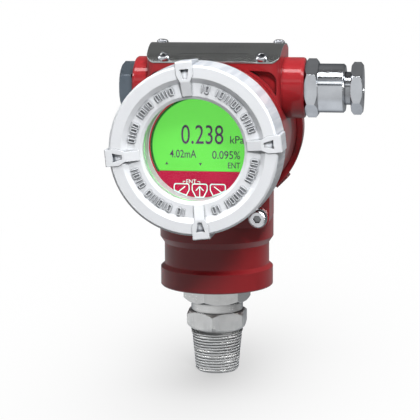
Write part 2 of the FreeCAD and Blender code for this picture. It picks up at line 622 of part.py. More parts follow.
def board_screws():
    return group("board_screws", [screw(
        f"board_screw_{name}", "small_head_r", "small_head_len", "small_screw_r", "board_screw_len",
        x=x, y="-board_face", z=z, turn=FRONT) for name, x, z in standoff_places()])


def lcd_segment(label, radius, drop, depth, back):
    """A disc across the display with its lower part cut off level."""
    disc = cylinder(label + "_disc", radius, depth, y=back, z="barrel_height", turn=FRONT)
    upper = box(label + "_upper", f"({radius}) * 2", depth, f"{radius} + {drop}", x=f"-({radius})",
                y=f"{back} - ({depth})", z=f"barrel_height - ({drop})")
    return common(label, disc, upper)


def key_solid(label, step, grow, length, back):
    """One shield-shaped key, clipped by the round overlay, or the opening that it runs in."""
    outline = slab(label + "_outline", "XZ_Plane", [
        (f"-(key_half + {grow})", f"key_rise + {grow}"), (f"key_half + {grow}", f"key_rise + {grow}"),
        (f"key_half + {grow}", "key_shoulder"), (f"key_toe + {grow}", f"-(key_fall + {grow})"),
        (f"-(key_toe + {grow})", f"-(key_fall + {grow})"), (f"-(key_half + {grow})", "key_shoulder")],
        length, x=f"{step} * key_pitch", y=back, z="barrel_height - key_drop")
    rounded(outline, "key_corner", along_y)
    clip = cylinder(label + "_clip", f"key_clip_r + {grow}", f"{length} + overrun * 2", y=f"{back} + overrun",
                    z="barrel_height", turn=FRONT)
    return common(label, outline, clip)


KEYS = (("key_left", -1), ("key_middle", 0), ("key_right", 1))


def display_body():
    shell = turned("display_shell", [
        ("display_r - display_wall", "0"), ("display_r", "0"), ("display_r", "display_len - head_edge"),
        ("display_r - head_edge", "display_len"), ("tube_r", "display_len"), ("tube_r", "floor_front"),
        ("0", "floor_front"), ("0", "floor_back"), ("display_r - display_wall", "floor_back")],
        y="-board_face", z="barrel_height", turn=FRONT)
    tools = [lcd_segment("lcd_recess", "lcd_r + lcd_rim + lcd_fit", "lcd_drop + lcd_rim + lcd_fit",
                         "lcd_thick + overrun", "lcd_thick - floor_face")]
    tools += [key_solid(name + "_well", step, "key_gap", "key_well + overrun", "key_well - floor_face")
              for name, step in KEYS]
    return cut("display_body", shell, *tools)


def lcd_panel():
    return lcd_segment("lcd_panel", "lcd_r + lcd_rim", "lcd_drop + lcd_rim", "lcd_thick",
                       "lcd_thick - floor_face")


def faceplate():
    sheet_disc = cylinder("faceplate_disc", "overlay_r", "overlay_thick", y="-floor_face",
                          z="barrel_height", turn=FRONT)
    tools = [lcd_segment("faceplate_window", "lcd_r", "lcd_drop", "overlay_thick * 3",
                         "overlay_thick - floor_face")]
    tools += [key_solid(name + "_hole", step, "key_gap", "overlay_thick * 3",
                        "overlay_thick - floor_face") for name, step in KEYS]
    return cut("faceplate", sheet_disc, *tools)


def keys():
    return [key_solid(name, step, "0", "key_len", "key_len - key_proud - overlay_thick - floor_face")
            for name, step in KEYS]


# ---------------------------------------------------------------- terminal compartment

TERMINALS = range(4)


def terminal_across(step):
    return f"{step - 1.5} * terminal_pitch"


def terminal_block():
    body = box("block_body", "block_half * 2", "block_depth", "block_high - block_low",
               x="-block_half", y="block_rear", z="block_low")
    ribs = [box(f"block_rib_{step}", "rib_thick", "rib_depth + overrun", "block_high - rib_low",
                x=f"{step - 2} * terminal_pitch - rib_thick / 2", y="block_face - overrun", z="rib_low")
            for step in range(5)]
    holes = [cylinder(f"terminal_hole_{step}", "terminal_screw_r + terminal_fit",
                      "terminal_len + overrun * 3", x=terminal_across(step),
                      y="block_face - terminal_len - overrun", z="terminal_height", turn=REAR)
             for step in TERMINALS]
    holes += [cylinder("block_hole", "small_hole_r", "block_depth * 3", x=f"{side} * block_screw_across",
                       y="block_rear - block_depth", z="block_screw_height", turn=REAR)
              for side in SIDES]
    return cut("terminal_block", fuse("block_blank", body, *ribs), *holes)


def terminal_screws():
    return group("terminal_screws", [screw(
        f"terminal_screw_{step}", "terminal_head_r", "terminal_head_len", "terminal_screw_r",
        "terminal_len", x=terminal_across(step), y="block_face", z="terminal_height", turn=REAR)
        for step in TERMINALS])


def block_screws():
    return group("terminal_block_screws", [screw(
        f"block_screw_{step}", "small_head_r", "small_head_len", "small_screw_r", "block_screw_len",
        x=f"{side} * block_screw_across", y="block_face", z="block_screw_height", turn=REAR)
        for step, side in enumerate(SIDES)])


def feedthrough():
    return turned("bulkhead_feedthrough", [
        ("0", "-feed_rim_len"), ("feed_r + feed_rim", "-feed_rim_len"), ("feed_r + feed_rim", "0"),
        ("feed_r", "0"), ("feed_r", "bulkhead_depth + feed_rim_len"),
        ("0", "bulkhead_depth + feed_rim_len")],
        y="block_rear", z="feed_height", turn=FRONT)


# ---------------------------------------------------------------- nameplate and ground terminal

def nameplate():
    strip = cut("nameplate_strip", arch("nameplate_outer", "arch_r"),
                arch("nameplate_inner", "arch_r - plate_thick"))
    blank = common("nameplate_blank", strip, plan_outline("nameplate_plan", "plate_overhang",
                                                          "platform_foot", "plate_top + overrun"))
    reach = "(plate_thick * 3)"
    holes = [cylinder(f"nameplate_hole_{index}", "plate_hole_r", f"{reach} * 2", x=x,
                      y=f"{y} - {reach} * {lean_y}", z=f"{z} - {reach} * {lean_z}", turn=turn)
             for index, (turn, x, y, z, lean_y, lean_z) in enumerate(plate_screw_places())]
    relief = cylinder("nameplate_relief", "barrel_r + plate_relief", "barrel_front",
                      z="barrel_height", turn=FRONT)
    return cut("nameplate", blank, relief, *holes)


def nameplate_screws():
    return group("nameplate_screws", [screw(
        f"plate_screw_{index}", "plate_head_r", "plate_head_len", "plate_screw_r", "plate_screw_len",
        x=x, y=y, z=z, turn=turn) for index, (turn, x, y, z, *_) in enumerate(plate_screw_places())])


def ground_washer():
    hole = cylinder("washer_hole", "ground_hole_r", "washer_thick * 3", x="ground_across",
                    y="washer_thick - ground_face", z="ground_height", turn=FRONT)
    return cut("ground_washer", washer_outline("washer_blank", "0", "washer_thick"), hole)


def ground_screw():
    return screw("ground_screw", "ground_head_r", "ground_head_len", "ground_screw_r", "ground_screw_len",
                 x="ground_across", y="-(ground_face + washer_thick)", z="ground_height", turn=FRONT)


# ---------------------------------------------------------------- conduit entries

def conduit_seals():
    return group("conduit_seals", [turned(f"conduit_seal_{name}", [
        ("entry_r", "0"), ("seal_r", "0"), ("seal_r", "seal_thick"), ("entry_r", "seal_thick")],
        x=f"{side} * ({face} - seal_thick)", z="conduit_height", turn=turn)
        for name, side, turn, face in zip(("left", "right"), SIDES, (LEFT, RIGHT), ENTRY_FACES)])


def gland_body():
    end = "gland_hex_len + gland_barrel_len"
    core = turned("gland_core", [
        ("0", "-entry_thread_len"), ("entry_thread_r - gland_edge", "-entry_thread_len"),
        ("entry_thread_r", "gland_edge - entry_thread_len"), ("entry_thread_r", "0"),
        ("gland_barrel_r", "0"), ("gland_barrel_r", f"{end} - gland_edge"),
        ("gland_barrel_r - gland_edge", end), ("0", end)])
    bore = turned("gland_bore", [
        ("0", "-(entry_thread_len + overrun)"), ("gland_through_r", "-(entry_thread_len + overrun)"),
        ("gland_through_r", f"{end} - gland_chamber_len"), ("gland_chamber_r", f"{end} - gland_chamber_len"),
        ("gland_chamber_r", f"{end} + overrun"), ("0", f"{end} + overrun")])
    solid = fuse("gland_solid", core, hexagon("gland_hexagon", "gland_corner_r", "gland_hex_len"))
    return place(cut("gland_body", solid, bore), x="boss_reach", z="conduit_height", turn=RIGHT)


def collar(label, outer, inner, length, **where):
    return turned(label, [(inner, "0"), (outer, "0"), (outer, length), (inner, length)], **where)


def gland_bush():
    return collar("gland_bush", "gland_chamber_r", "cable_r", "bush_len", x="gland_floor",
                  z="conduit_height", turn=RIGHT)


def gland_washer():
    return collar("gland_washer", "thrust_r", "gland_nut_bore_r", "thrust_thick",
                  x="gland_floor + bush_len", z="conduit_height", turn=RIGHT)


def gland_nut():
    shank = "gland_shank_gap + gland_chamber_len - bush_len - thrust_thick"
    core = cylinder("nut_shank", "gland_shank_r", f"{shank} + overrun", z=f"-({shank})")
    bore = turned("nut_bore", [
        ("0", f"-({shank}) - overrun"), ("gland_nut_bore_r", f"-({shank}) - overrun"),
        ("gland_nut_bore_r", "gland_nut_len - gland_edge"), ("gland_nut_bore_r + gland_edge * 2",
                                                            "gland_nut_len + gland_edge"),
        ("0", "gland_nut_len + gland_edge")])
    solid = fuse("nut_solid", core, hexagon("nut_hexagon", "gland_nut_corner_r", "gland_nut_len"))
    return place(cut("gland_nut", solid, bore), x="nut_seat", z="conduit_height", turn=RIGHT)


def blanking_plug():
    core = turned("plug_core", [
        ("plug_core_r", "-entry_thread_len"), ("entry_thread_r - gland_edge", "-entry_thread_len"),
        ("entry_thread_r", "gland_edge - entry_thread_len"), ("entry_thread_r", "overrun"), ("0", "overrun"),
        ("0", "0"), ("plug_core_r", "0")])
    solid = fuse("blanking_plug", core, hexagon("plug_hexagon", "plug_corner_r", "plug_hex_len"))
    return place(solid, x="-plug_boss_reach", z="conduit_height", turn=LEFT)


# ---------------------------------------------------------------- sensor and process connection

def sensor_body():
    core = turned("sensor_core", [
        ("0", "socket_floor"), ("plug_in_r", "socket_floor"), ("plug_in_r", "adapter_top"),
        ("sensor_low_r", "adapter_top"), ("sensor_low_r", "mouth_height - overrun"),
        ("stem_r", "mouth_height - overrun"), ("stem_r", "mouth_height + stem_len"),
        ("0", "mouth_height + stem_len")])
    bore = turned("sensor_bore", [
        ("0", "socket_floor - overrun"), ("capsule_r + capsule_fit", "socket_floor - overrun"),
        ("capsule_r + capsule_fit", "capsule_seat"), ("wire_duct_r", "capsule_seat"),
        ("wire_duct_r", "stem_floor"), ("stem_bore_r", "stem_floor"),
        ("stem_bore_r", "mouth_height + stem_len + overrun"), ("0", "mouth_height + stem_len + overrun")])
    nut = hexagon("sensor_hexagon", "sensor_corner_r", "sensor_hex_len", "sensor_hex_turn",
                  z="sensor_hex_low")
    return cut("sensor_body", fuse("sensor_solid", core, nut), bore)


def neck_seal():
    return ring("neck_seal", "neck_seal_mid", "neck_seal_r", z="mouth_height + neck_seal_r")


def process_adapter():
    core = turned("adapter_core", [
        ("0", "0"), ("thread_low_r - thread_edge", "0"), ("thread_low_r", "thread_edge"),
        ("thread_top_r", "thread_top - adapter_groove"), ("thread_top_r", "thread_top + overrun"),
        ("0", "thread_top + overrun")])
    bore = turned("adapter_bore", [
        ("0", "-overrun"), ("port_r", "-overrun"), ("port_r", "port_cup_floor"),
        ("port_cup_r", "port_cup_floor"), ("port_cup_r", "socket_floor"), ("socket_r", "socket_floor"),
        ("socket_r", "adapter_top + overrun"), ("0", "adapter_top + overrun")])
    nut = hexagon("adapter_hexagon", "adapter_corner_r", "adapter_top - thread_top", "adapter_hex_turn",
                  z="thread_top")
    return cut("process_adapter", fuse("adapter_solid", core, nut), bore)


def sensor_capsule():
    return turned("sensor_capsule", [
        ("0", "capsule_low + membrane_step"), ("membrane_r", "capsule_low + membrane_step"),
        ("membrane_r", "capsule_low"), ("capsule_r", "capsule_low"), ("capsule_r", "capsule_seat"),
        ("0", "capsule_seat")])


def capsule_seal():
    return ring("capsule_seal", "capsule_seal_mid", "capsule_seal_r", z="socket_floor + capsule_seal_r")


def sensor_board():
    return cylinder("sensor_board", "sensor_board_r", "board_thick", z="mouth_height + stem_len")


# ---------------------------------------------------------------- the whole transmitter

nodes = [
    housing(), front_cover(), window_glass(), window_keeper(),
    cover_seal("front_cover_seal", FRONT_COVER_SEAT), rear_cover(),
    cover_seal("rear_cover_seal", REAR_COVER_SEAT), display_body(), lcd_panel(), faceplate(), *keys(),
    main_board(), board_standoffs(), board_screws(), terminal_block(), terminal_screws(),
    block_screws(), feedthrough(), nameplate(), nameplate_screws(), ground_washer(), ground_screw(),
    conduit_seals(), gland_body(), gland_bush(), gland_washer(), gland_nut(), blanking_plug(),
    sensor_body(), neck_seal(), process_adapter(), sensor_capsule(), capsule_seal(), sensor_board(),
]
doc.recompute()

for thing in doc.Objects:
    if {"Invalid", "Error"} & set(thing.State):
        raise RuntimeError(f"{thing.Label} did not build: {thing.State}")
for node in nodes:
    if node.Shape.isNull() or not node.Shape.isValid():
        raise RuntimeError(f"{node.Label} is not a valid solid")

os.makedirs("parts", exist_ok=True)
for node in nodes:
    node.Shape.exportStep(f"parts/{node.Label}.step")
    print(f"{node.Label}: {len(node.Shape.Solids)} solid(s), {node.Shape.Volume / 1000:.2f} cm3")
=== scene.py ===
"""Pressure transmitter: studio scene with finishes and fine detail added to the packed model."""
import json
import math

import bmesh
import bpy
from mathutils import Matrix, Vector

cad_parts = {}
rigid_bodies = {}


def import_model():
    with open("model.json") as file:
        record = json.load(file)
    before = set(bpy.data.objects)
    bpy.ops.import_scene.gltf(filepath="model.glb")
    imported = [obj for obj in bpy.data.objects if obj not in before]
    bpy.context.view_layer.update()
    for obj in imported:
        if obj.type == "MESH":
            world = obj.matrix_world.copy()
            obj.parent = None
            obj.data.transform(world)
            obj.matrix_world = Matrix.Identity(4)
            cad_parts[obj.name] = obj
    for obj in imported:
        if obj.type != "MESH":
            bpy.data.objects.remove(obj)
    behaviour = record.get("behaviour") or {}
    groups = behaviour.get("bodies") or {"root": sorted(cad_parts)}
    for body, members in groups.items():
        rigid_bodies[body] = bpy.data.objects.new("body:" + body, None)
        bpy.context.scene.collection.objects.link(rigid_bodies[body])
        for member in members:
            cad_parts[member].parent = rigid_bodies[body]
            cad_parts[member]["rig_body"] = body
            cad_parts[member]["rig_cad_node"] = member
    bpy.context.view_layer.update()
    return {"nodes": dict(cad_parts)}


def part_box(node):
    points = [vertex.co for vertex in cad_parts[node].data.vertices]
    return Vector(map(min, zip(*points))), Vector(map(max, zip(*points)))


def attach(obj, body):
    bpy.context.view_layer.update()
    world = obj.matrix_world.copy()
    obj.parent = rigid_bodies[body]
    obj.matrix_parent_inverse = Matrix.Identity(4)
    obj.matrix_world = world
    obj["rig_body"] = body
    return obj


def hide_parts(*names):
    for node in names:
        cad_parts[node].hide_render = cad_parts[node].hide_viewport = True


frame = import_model()

bl_info = {
    "name": "Pressure Transmitter Dressing",
    "version": (1, 0, 0),
    "blender": (4, 5, 0),
    "location": "3D View > Sidebar > Transmitter",
    "description": "Adds finishes, process thread, prints and studio to the packed transmitter",
    "category": "Object",
}

NODES = frame["nodes"]
MM = 0.001


def middle(node):
    low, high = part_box(node)
    return (low + high) / 2


BARREL = Vector((0, 0, middle("faceplate").z))
LCD_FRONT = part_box("lcd_panel")[0].y
OVERLAY_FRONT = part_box("faceplate")[0].y
KEY_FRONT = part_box("key_middle")[0].y
LCD_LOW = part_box("lcd_panel")[0].z
COVER_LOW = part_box("front_cover")[0]
PLATE_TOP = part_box("nameplate")[1].z
REAR_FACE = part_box("rear_cover")[1].y

# Castings, along and round the barrel axis
SPIGOT_RADIUS = 30.28 * MM
CAVITY_RADIUS = 27.3 * MM
NECK_DROP = 31 * MM
BODY_MIDDLE = -6.75 * MM
BODY_HALF = 34.7 * MM
REAR_PAINT_DEPTH = 3.5 * MM
COVER_PITCH = 2 * MM
COVER_WALL_RADIUS = 31.7 * MM
COVER_RIM = 1.2 * MM
DISH_DEPTH = 2.0 * MM
NAMEPLATE_RADIUS = 25 * MM

# Display, round the barrel axis
# Radii of the painted shade round the lit panel's rim
LCD_SHADE_RIM = (19.5 * MM, 19.9 * MM)
# Radii of the painted shade of the display opening's bevel
LCD_BEVEL_SHADE_RING = (19.7 * MM, 20.55 * MM)
PALE_LINE_START = 21.15 * MM
# Radii of the painted reflection of the display on the moulding's lip
LCD_REFLECTION_RING = (21.38 * MM, 21.6 * MM)
LIP_FACE = -51.6 * MM
DOT_PITCH = 0.1 * math.pi * MM

WHITE = (1.0, 1.0, 1.0)
WELD = 0.005 * MM
ROUND_STEPS = 72


# -------------------------------- settings

def number(name, text, value, **more):
    return bpy.props.FloatProperty(name=name, description=text, default=value, **more)


def length(name, text, size):
    return number(name, text, size, unit="LENGTH", precision=4)


def word(name, text, shown):
    return bpy.props.StringProperty(name=name, description=text, default=shown)


def colour(name, text, rgb):
    return bpy.props.FloatVectorProperty(name=name, description=text, default=rgb, size=3,
                                         subtype="COLOR", min=0, max=1)


class StudioSettings(bpy.types.PropertyGroup):
    """Camera, lamps and backdrop."""
    focal_length: number("Focal length", "Lens of the studio camera", 128.02,
                         unit="CAMERA", subtype="NONE")
    distance: length("Distance", "From the camera to the transmitter", 0.66016)
    azimuth: number("Azimuth", "Camera angle round the neck, towards the gland",
                    math.radians(8.01), subtype="ANGLE")
    elevation: number("Elevation", "Camera angle above the floor",
                      math.radians(8.13), subtype="ANGLE")
    floor_colour: colour("Floor", "Colour of the studio floor", (0.62, 0.62, 0.62))
    lamp_power: number("Lamp power", "Power of the key light", 13, min=0, unit="POWER")
    ambient: number("Ambient", "Level of the light that comes from all round", 0.06, min=0)


class PaintSettings(bpy.types.PropertyGroup):
    """Colours of the painted castings."""
    housing: colour("Housing", "Gloss enamel on the housing and the rear cover",
                    (0.33, 0.019, 0.024))
    cover: colour("Front cover", "Powder coat on the front cover", (0.88, 0.90, 0.93))
    bare: colour("Bare casting", "Machined aluminium on threads and inside", (0.50, 0.50, 0.48))


class MetalSettings(bpy.types.PropertyGroup):
    """Colours of the bare metal pieces."""
    nickel: colour("Nickel", "Plated cable gland", (0.60, 0.62, 0.65))
    plug: colour("Plug", "Blanking plug", (0.16, 0.195, 0.23))
    stainless: colour("Stainless", "Sensor and process connection", (0.64, 0.64, 0.63))
    plate: colour("Nameplate", "Polished nameplate", (0.40, 0.41, 0.405))
    screw: colour("Screws", "Small screws", (0.52, 0.53, 0.56))


class DisplaySettings(bpy.types.PropertyGroup):
    """What the display shows and its colours."""
    reading: word("Reading", "Large number", "0.238")
    reading_unit: word("Unit", "Unit of the reading", "kPa")
    loop_current: word("Current", "Small number on the left", "4.02mA")
    span_share: word("Share", "Small number on the right", "0.095%")
    enter_word: word("Enter", "Word over the right key and in the bracket", "ENT")
    lit: colour("Lit panel", "Backlight of the display", (0.085, 0.40, 0.05))
    ink: colour("Digits", "Dark segments of the display", (0.060, 0.010, 0.080))
    overlay: colour("Overlay", "Printed film round the display", (0.28, 0.007, 0.032))
    print_colour: colour("Prints", "Lines printed on the keys", (0.62, 0.86, 0.80))


class ThreadSettings(bpy.types.PropertyGroup):
    """Process thread."""
    pitch: length("Pitch", "Distance between the turns", 0.00126)
    depth: length("Depth", "From crest to root", 0.00080)
    low_radius: length("Lower radius", "Crest radius at the lower end, before the cone trims it",
                       0.00985)
    taper: number("Taper", "Growth of the radius per height", 0.0915, precision=4)
    top: length("Top", "Where the turns run out", 0.0184)
    relief_radius: length("Relief radius", "Turned relief over the turns", 0.0104)
    chamfer_radius: length("Chamfer radius", "Radius of the hexagon's underside", 0.0114)
    seat: length("Seat", "Underside of the hexagon", 0.0191)


class MarkSettings(bpy.types.PropertyGroup):
    """Raised marks on the front cover's dish."""
    height: length("Height", "Radial height of a mark", 0.0031)
    width: length("Width", "Width of a framed mark", 0.0017)
    stroke: length("Stroke", "Width of a line in a mark", 0.00042)
    rise: length("Rise", "How far a mark stands above the dish", 0.00075)
    radius: length("Radius", "Middle of the row of marks", 0.0251)


GROUPS = (("studio", StudioSettings), ("paint", PaintSettings), ("metal", MetalSettings),
          ("display", DisplaySettings), ("thread", ThreadSettings), ("marks", MarkSettings))


def settings(group):
    return getattr(bpy.context.scene, "transmitter_" + group)


# -------------------------------- materials

class Number:
    """A value in a shader: arithmetic on it adds Math nodes."""

    def __init__(self, recipe, socket):
        self.recipe, self.socket = recipe, socket

    def math(self, operation, *others, clamp=False):
        operands = dict(enumerate((self, *others)))
        made = self.recipe.node("ShaderNodeMath", {"operation": operation, "use_clamp": clamp},
                                operands)
        return Number(self.recipe, made.outputs[0])

    def flipped(self, operation, other):
        made = self.recipe.node("ShaderNodeMath", {"operation": operation}, {0: other, 1: self})
        return Number(self.recipe, made.outputs[0])

    def __add__(self, other): return self.math("ADD", other)
    def __sub__(self, other): return self.math("SUBTRACT", other)
    def __mul__(self, other): return self.math("MULTIPLY", other)
    def __truediv__(self, other): return self.math("DIVIDE", other)
    def __pow__(self, other): return self.math("POWER", other)
    def __lt__(self, other): return self.math("LESS_THAN", other)
    def __gt__(self, other): return self.math("GREATER_THAN", other)
    def __abs__(self): return self.math("ABSOLUTE")
    def __neg__(self): return self.flipped("SUBTRACT", 0.0)
    def __radd__(self, other): return self.flipped("ADD", other)
    def __rsub__(self, other): return self.flipped("SUBTRACT", other)

    def clamped(self):
        return self.math("ADD", 0.0, clamp=True)

    def between(self, low, high):
        """1 inside the limits, 0 outside."""
        return (self > low) * (self < high)

    def ramp(self, low, high):
        """0 at low, 1 at high, clamped."""
        return ((self - low) / (high - low)).clamped()


def scaled(rgb, factor):
    """A darker or lighter shade of a colour."""
    return tuple(min(c * factor, 1) for c in rgb)


class Recipe:
    """Builds the nodes of one material, or of the world that is handed in."""

    def __init__(self, name, owner=None):
        self.material = owner or bpy.data.materials.new(name)
        self.material.use_nodes = True
        self.tree = self.material.node_tree
        self.tree.nodes.clear()
        self.place = self.node("ShaderNodeTexCoord").outputs["Object"]

    def node(self, kind, choices=None, inputs=None):
        """Add a node: its settings first, then the values or links of its sockets."""
        made = self.tree.nodes.new(kind)
        for name, choice in (choices or {}).items():
            if name == "stops":
                self.set_stops(made.color_ramp, choice)
            else:
                setattr(made, name, choice)
        for name, source in (inputs or {}).items():
            self.feed(made.inputs[name], source)
        return made

    @staticmethod
    def set_stops(ramp, stops):
        while len(ramp.elements) < len(stops):
            ramp.elements.new(1.0)
        for element, (position, rgb) in zip(ramp.elements, stops):
            element.position = position
            element.color = (*rgb, 1)

    def feed(self, socket, source):
        if isinstance(source, Number):
            source = source.socket
        if isinstance(source, bpy.types.NodeSocket):
            self.tree.links.new(source, socket)
        elif isinstance(source, (tuple, list)) and len(source) == 3 and socket.type == "RGBA":
            socket.default_value = (*source, 1)
        else:
            socket.default_value = source

    def split(self, vector=None):
        parts = self.node("ShaderNodeSeparateXYZ", inputs={0: vector or self.place})
        return [Number(self, output) for output in parts.outputs]

    def noise(self, scale, detail=3.0, stretch=None):
        """Noise of about 1/scale metres, as a number from 0 to 1."""
        where = self.place
        if stretch:
            where = self.node("ShaderNodeMapping",
                              inputs={"Vector": where, "Scale": stretch}).outputs[0]
        made = self.node("ShaderNodeTexNoise", inputs={
            "Vector": where, "Scale": scale, "Detail": detail, "Roughness": 0.55})
        return Number(self, made.outputs["Fac"])

    def blend(self, share, first, second, mode="MIX"):
        """Mix two colours."""
        mix = self.node("ShaderNodeMix", {"data_type": "RGBA", "blend_type": mode},
                        {"Factor": share, 6: first, 7: second})
        return mix.outputs[2]

    def mottled(self, share, rgb, darker, lighter):
        """A colour that varies between two multiples of itself."""
        return self.blend(share, scaled(rgb, darker), scaled(rgb, lighter))

    def mixed(self, share, first, second):
        """Mix two shader nodes."""
        return self.node("ShaderNodeMixShader", inputs={
            "Fac": share, 1: first.outputs[0], 2: second.outputs[0]})

    def glow(self, rgb, strength=1.0, kind="ShaderNodeEmission"):
        return self.node(kind, inputs={"Color": rgb, "Strength": strength})

    def bump(self, height, depth, normal=None):
        """Surface relief whose height 1 stands depth metres high."""
        inputs = {"Height": height, "Distance": depth, "Strength": 1.0}
        if normal:
            inputs["Normal"] = normal
        return self.node("ShaderNodeBump", inputs=inputs).outputs[0]

    def soft_edges(self, radius):
        """A normal that rounds the edges, and how near a point is to an edge."""
        rounded = self.node("ShaderNodeBevel", {"samples": 6}, {"Radius": radius}).outputs[0]
        plain = self.node("ShaderNodeNewGeometry").outputs["Normal"]
        same = self.node("ShaderNodeVectorMath", {"operation": "DOT_PRODUCT"},
                         {0: rounded, 1: plain})
        edge = (1.0 - Number(self, same.outputs["Value"])).ramp(0.01, 0.22)
        return rounded, edge

    def recess(self, reach, full=0.65):
        """How deep in a recess a point is: 0 on open faces, 1 where this share of it is closed."""
        open_share = self.node("ShaderNodeAmbientOcclusion", {"samples": 8},
                               {"Distance": reach}).outputs["AO"]
        return (1.0 - Number(self, open_share)).ramp(full * 0.2, full)

    def from_barrel(self):
        """Distance from the barrel axis, and the place along it."""
        across, along, up = self.split()
        above = up - BARREL.z
        return (across * across + above * above) ** 0.5, along

    def surface(self, **inputs):
        """The material with a principled shader, its sockets named in lower case."""
        names = {name.replace("_", " ").title().replace("Ior", "IOR"): source
                 for name, source in inputs.items()}
        return self.finished(self.node("ShaderNodeBsdfPrincipled", inputs=names))

    def finished(self, shader):
        """Put a shader on the output."""
        self.node("ShaderNodeOutputMaterial", inputs={"Surface": shader.outputs[0]})
        return self.material


def enamel(name, rgb):
    """Gloss enamel on a casting: orange peel, a painted highlight on its edges, painted shade in
    its recesses, machined threads and inner walls.
    """
    recipe = Recipe(name)
    normal, edge = recipe.soft_edges(0.0004)
    patches = recipe.noise(45.0, 4.0)
    peel = recipe.noise(750.0, 2.0)
    grit = recipe.noise(2600.0, 2.0)
    tone = recipe.mottled(patches, rgb, 0.86, 1.12)
    # Edges lightened: a painted highlight on the rounded edges.
    tone = recipe.blend(edge * 0.4, tone, (min(rgb[0] * 1.5, 1), rgb[1] * 2.2, rgb[2] * 2.2))
    spots = (recipe.noise(1500.0, 1.0) > 0.76) * 0.15
    tone = recipe.blend(spots, tone, scaled(rgb, 0.5))
    # Recesses darkened towards a deep red: painted shade in seams and crevices.
    tone = recipe.blend(recipe.recess(0.002) * 0.6, tone, scaled(rgb, 0.2))
    radius, along = recipe.from_barrel()
    above_neck = recipe.split()[2] > (BARREL.z - NECK_DROP)
    spigot = abs(along - BODY_MIDDLE) > BODY_HALF
    cavity = radius < CAVITY_RADIUS
    machined = (above_neck * (radius < SPIGOT_RADIUS) * (spigot + cavity).clamped()
                * (along < REAR_FACE - REAR_PAINT_DEPTH))
    bare = settings("paint").bare
    tone = recipe.blend(machined, tone, recipe.mottled(grit, bare, 1.0, 0.75))
    turns = (along * (2 * math.pi / COVER_PITCH)).math("SINE")
    relief = peel * 0.5 + turns * (machined * (1.0 - cavity)) * 9.0
    return recipe.surface(
        base_color=tone, metallic=machined * 0.9, roughness=0.34 + patches * 0.12,
        specular_ior_level=0.15, coat_weight=(1.0 - machined) * 0.4, coat_roughness=0.05,
        normal=recipe.bump(relief, 0.00003, normal))


def powder_coat(name, rgb):
    """Pale powder coat: fine pebble texture, handling marks, a painted highlight on its edges,
    painted shade and painted reflection streaks on the cover's outer wall, painted shade in its
    recesses.
    """
    recipe = Recipe(name)
    normal, edge = recipe.soft_edges(0.00035)
    patches = recipe.noise(60.0, 4.0)
    pebble = recipe.noise(1500.0, 2.0)
    tone = recipe.mottled(patches, rgb, 0.95, 1.03)
    # Edges lightened: a painted highlight.
    tone = recipe.blend(edge * 0.35, tone, (0.93, 0.94, 0.95))
    rubbed = recipe.noise(220.0, 3.0, stretch=(1.0, 0.4, 2.5)).ramp(0.58, 0.75) * 0.07
    tone = recipe.blend(rubbed, tone, (0.45, 0.46, 0.48))
    radius, along = recipe.from_barrel()
    # The cover's outer wall painted greyer and bluer with streaks along the axis: painted shade and
    # painted reflection streaks.
    wall = (radius > COVER_WALL_RADIUS) * (along > COVER_LOW.y + COVER_RIM)
    streak = recipe.noise(420.0, 2.0, stretch=(1.0, 0.03, 1.0)).ramp(0.42, 0.58)
    tone = recipe.blend(wall * (streak * 0.35 + 0.25), tone, (0.45, 0.50, 0.58))
    # Recesses darkened towards grey: painted shade round the lugs, marks and pockets.
    tone = recipe.blend(recipe.recess(0.0014, 0.6) * 0.85, tone, (0.14, 0.15, 0.17))
    return recipe.surface(
        base_color=tone, roughness=0.30 + patches * 0.14, coat_weight=0.25, coat_roughness=0.12,
        normal=recipe.bump(pebble, 0.000022, normal))


def metal(name, rgb, roughness=0.18, lines=(1.0, 1.0, 1.0), grain=900.0, edge_highlight=0.3,
          edges=0.00025, painted_recess_shade=0.8, closed=0.65, reach=0.003):
    """Bare or plated metal: tool lines, slight stains, a painted highlight on its edges, painted
    shade in its recesses.
    """
    recipe = Recipe(name)
    normal, edge = recipe.soft_edges(edges)
    stains = recipe.noise(130.0, 4.0)
    tool = recipe.noise(grain, 3.0, stretch=lines)
    tone = recipe.mottled(stains, rgb, 0.72, 1.12)
    # Edges lightened: a painted highlight.
    tone = recipe.blend(edge * edge_highlight, tone, (0.85, 0.86, 0.88))
    # Recesses darkened nearly to black: painted shade in sockets and thread roots.
    tone = recipe.blend(recipe.recess(reach, closed) * painted_recess_shade, tone, scaled(rgb, 0.12))
    return recipe.surface(
        base_color=tone, metallic=1.0, roughness=roughness + tool * 0.10 + stains * 0.06,
        specular_tint=(0.55, 0.58, 0.62),
        normal=recipe.bump(tool, 0.000012, normal))


def plastic(name, rgb, roughness):
    """Moulded plastic with a fine eroded texture and a painted highlight on its edges."""
    recipe = Recipe(name)
    normal, edge = recipe.soft_edges(0.0003)
    patches = recipe.noise(90.0, 3.0)
    texture = recipe.noise(1400.0, 2.0)
    tone = recipe.mottled(patches, rgb, 0.9, 1.08)
    # Edges lightened: a painted highlight.
    tone = recipe.blend(edge * 0.25, tone, tuple(min(c * 1.6 + 0.04, 1) for c in rgb))
    return recipe.surface(
        base_color=tone, roughness=roughness + patches * 0.12,
        normal=recipe.bump(texture, 0.00002, normal))


def moulding(name, rgb):
    """Pale satin moulding with a painted reflection of the lit display, a green ring round its
    front lip.
    """
    recipe = Recipe(name)
    radius, along = recipe.from_barrel()
    patches = recipe.noise(90.0, 3.0)
    tone = recipe.mottled(patches, rgb, 0.9, 1.08)
    # Green ring: a painted reflection of the lit display on the lip's inner wall.
    line = radius.between(*LCD_REFLECTION_RING) * (along < LIP_FACE)
    tone = recipe.blend(line, tone, (0.22, 0.75, 0.25))
    return recipe.surface(base_color=tone, roughness=0.4 + patches * 0.12,
                          normal=recipe.bump(recipe.noise(1400.0, 2.0), 0.00001))


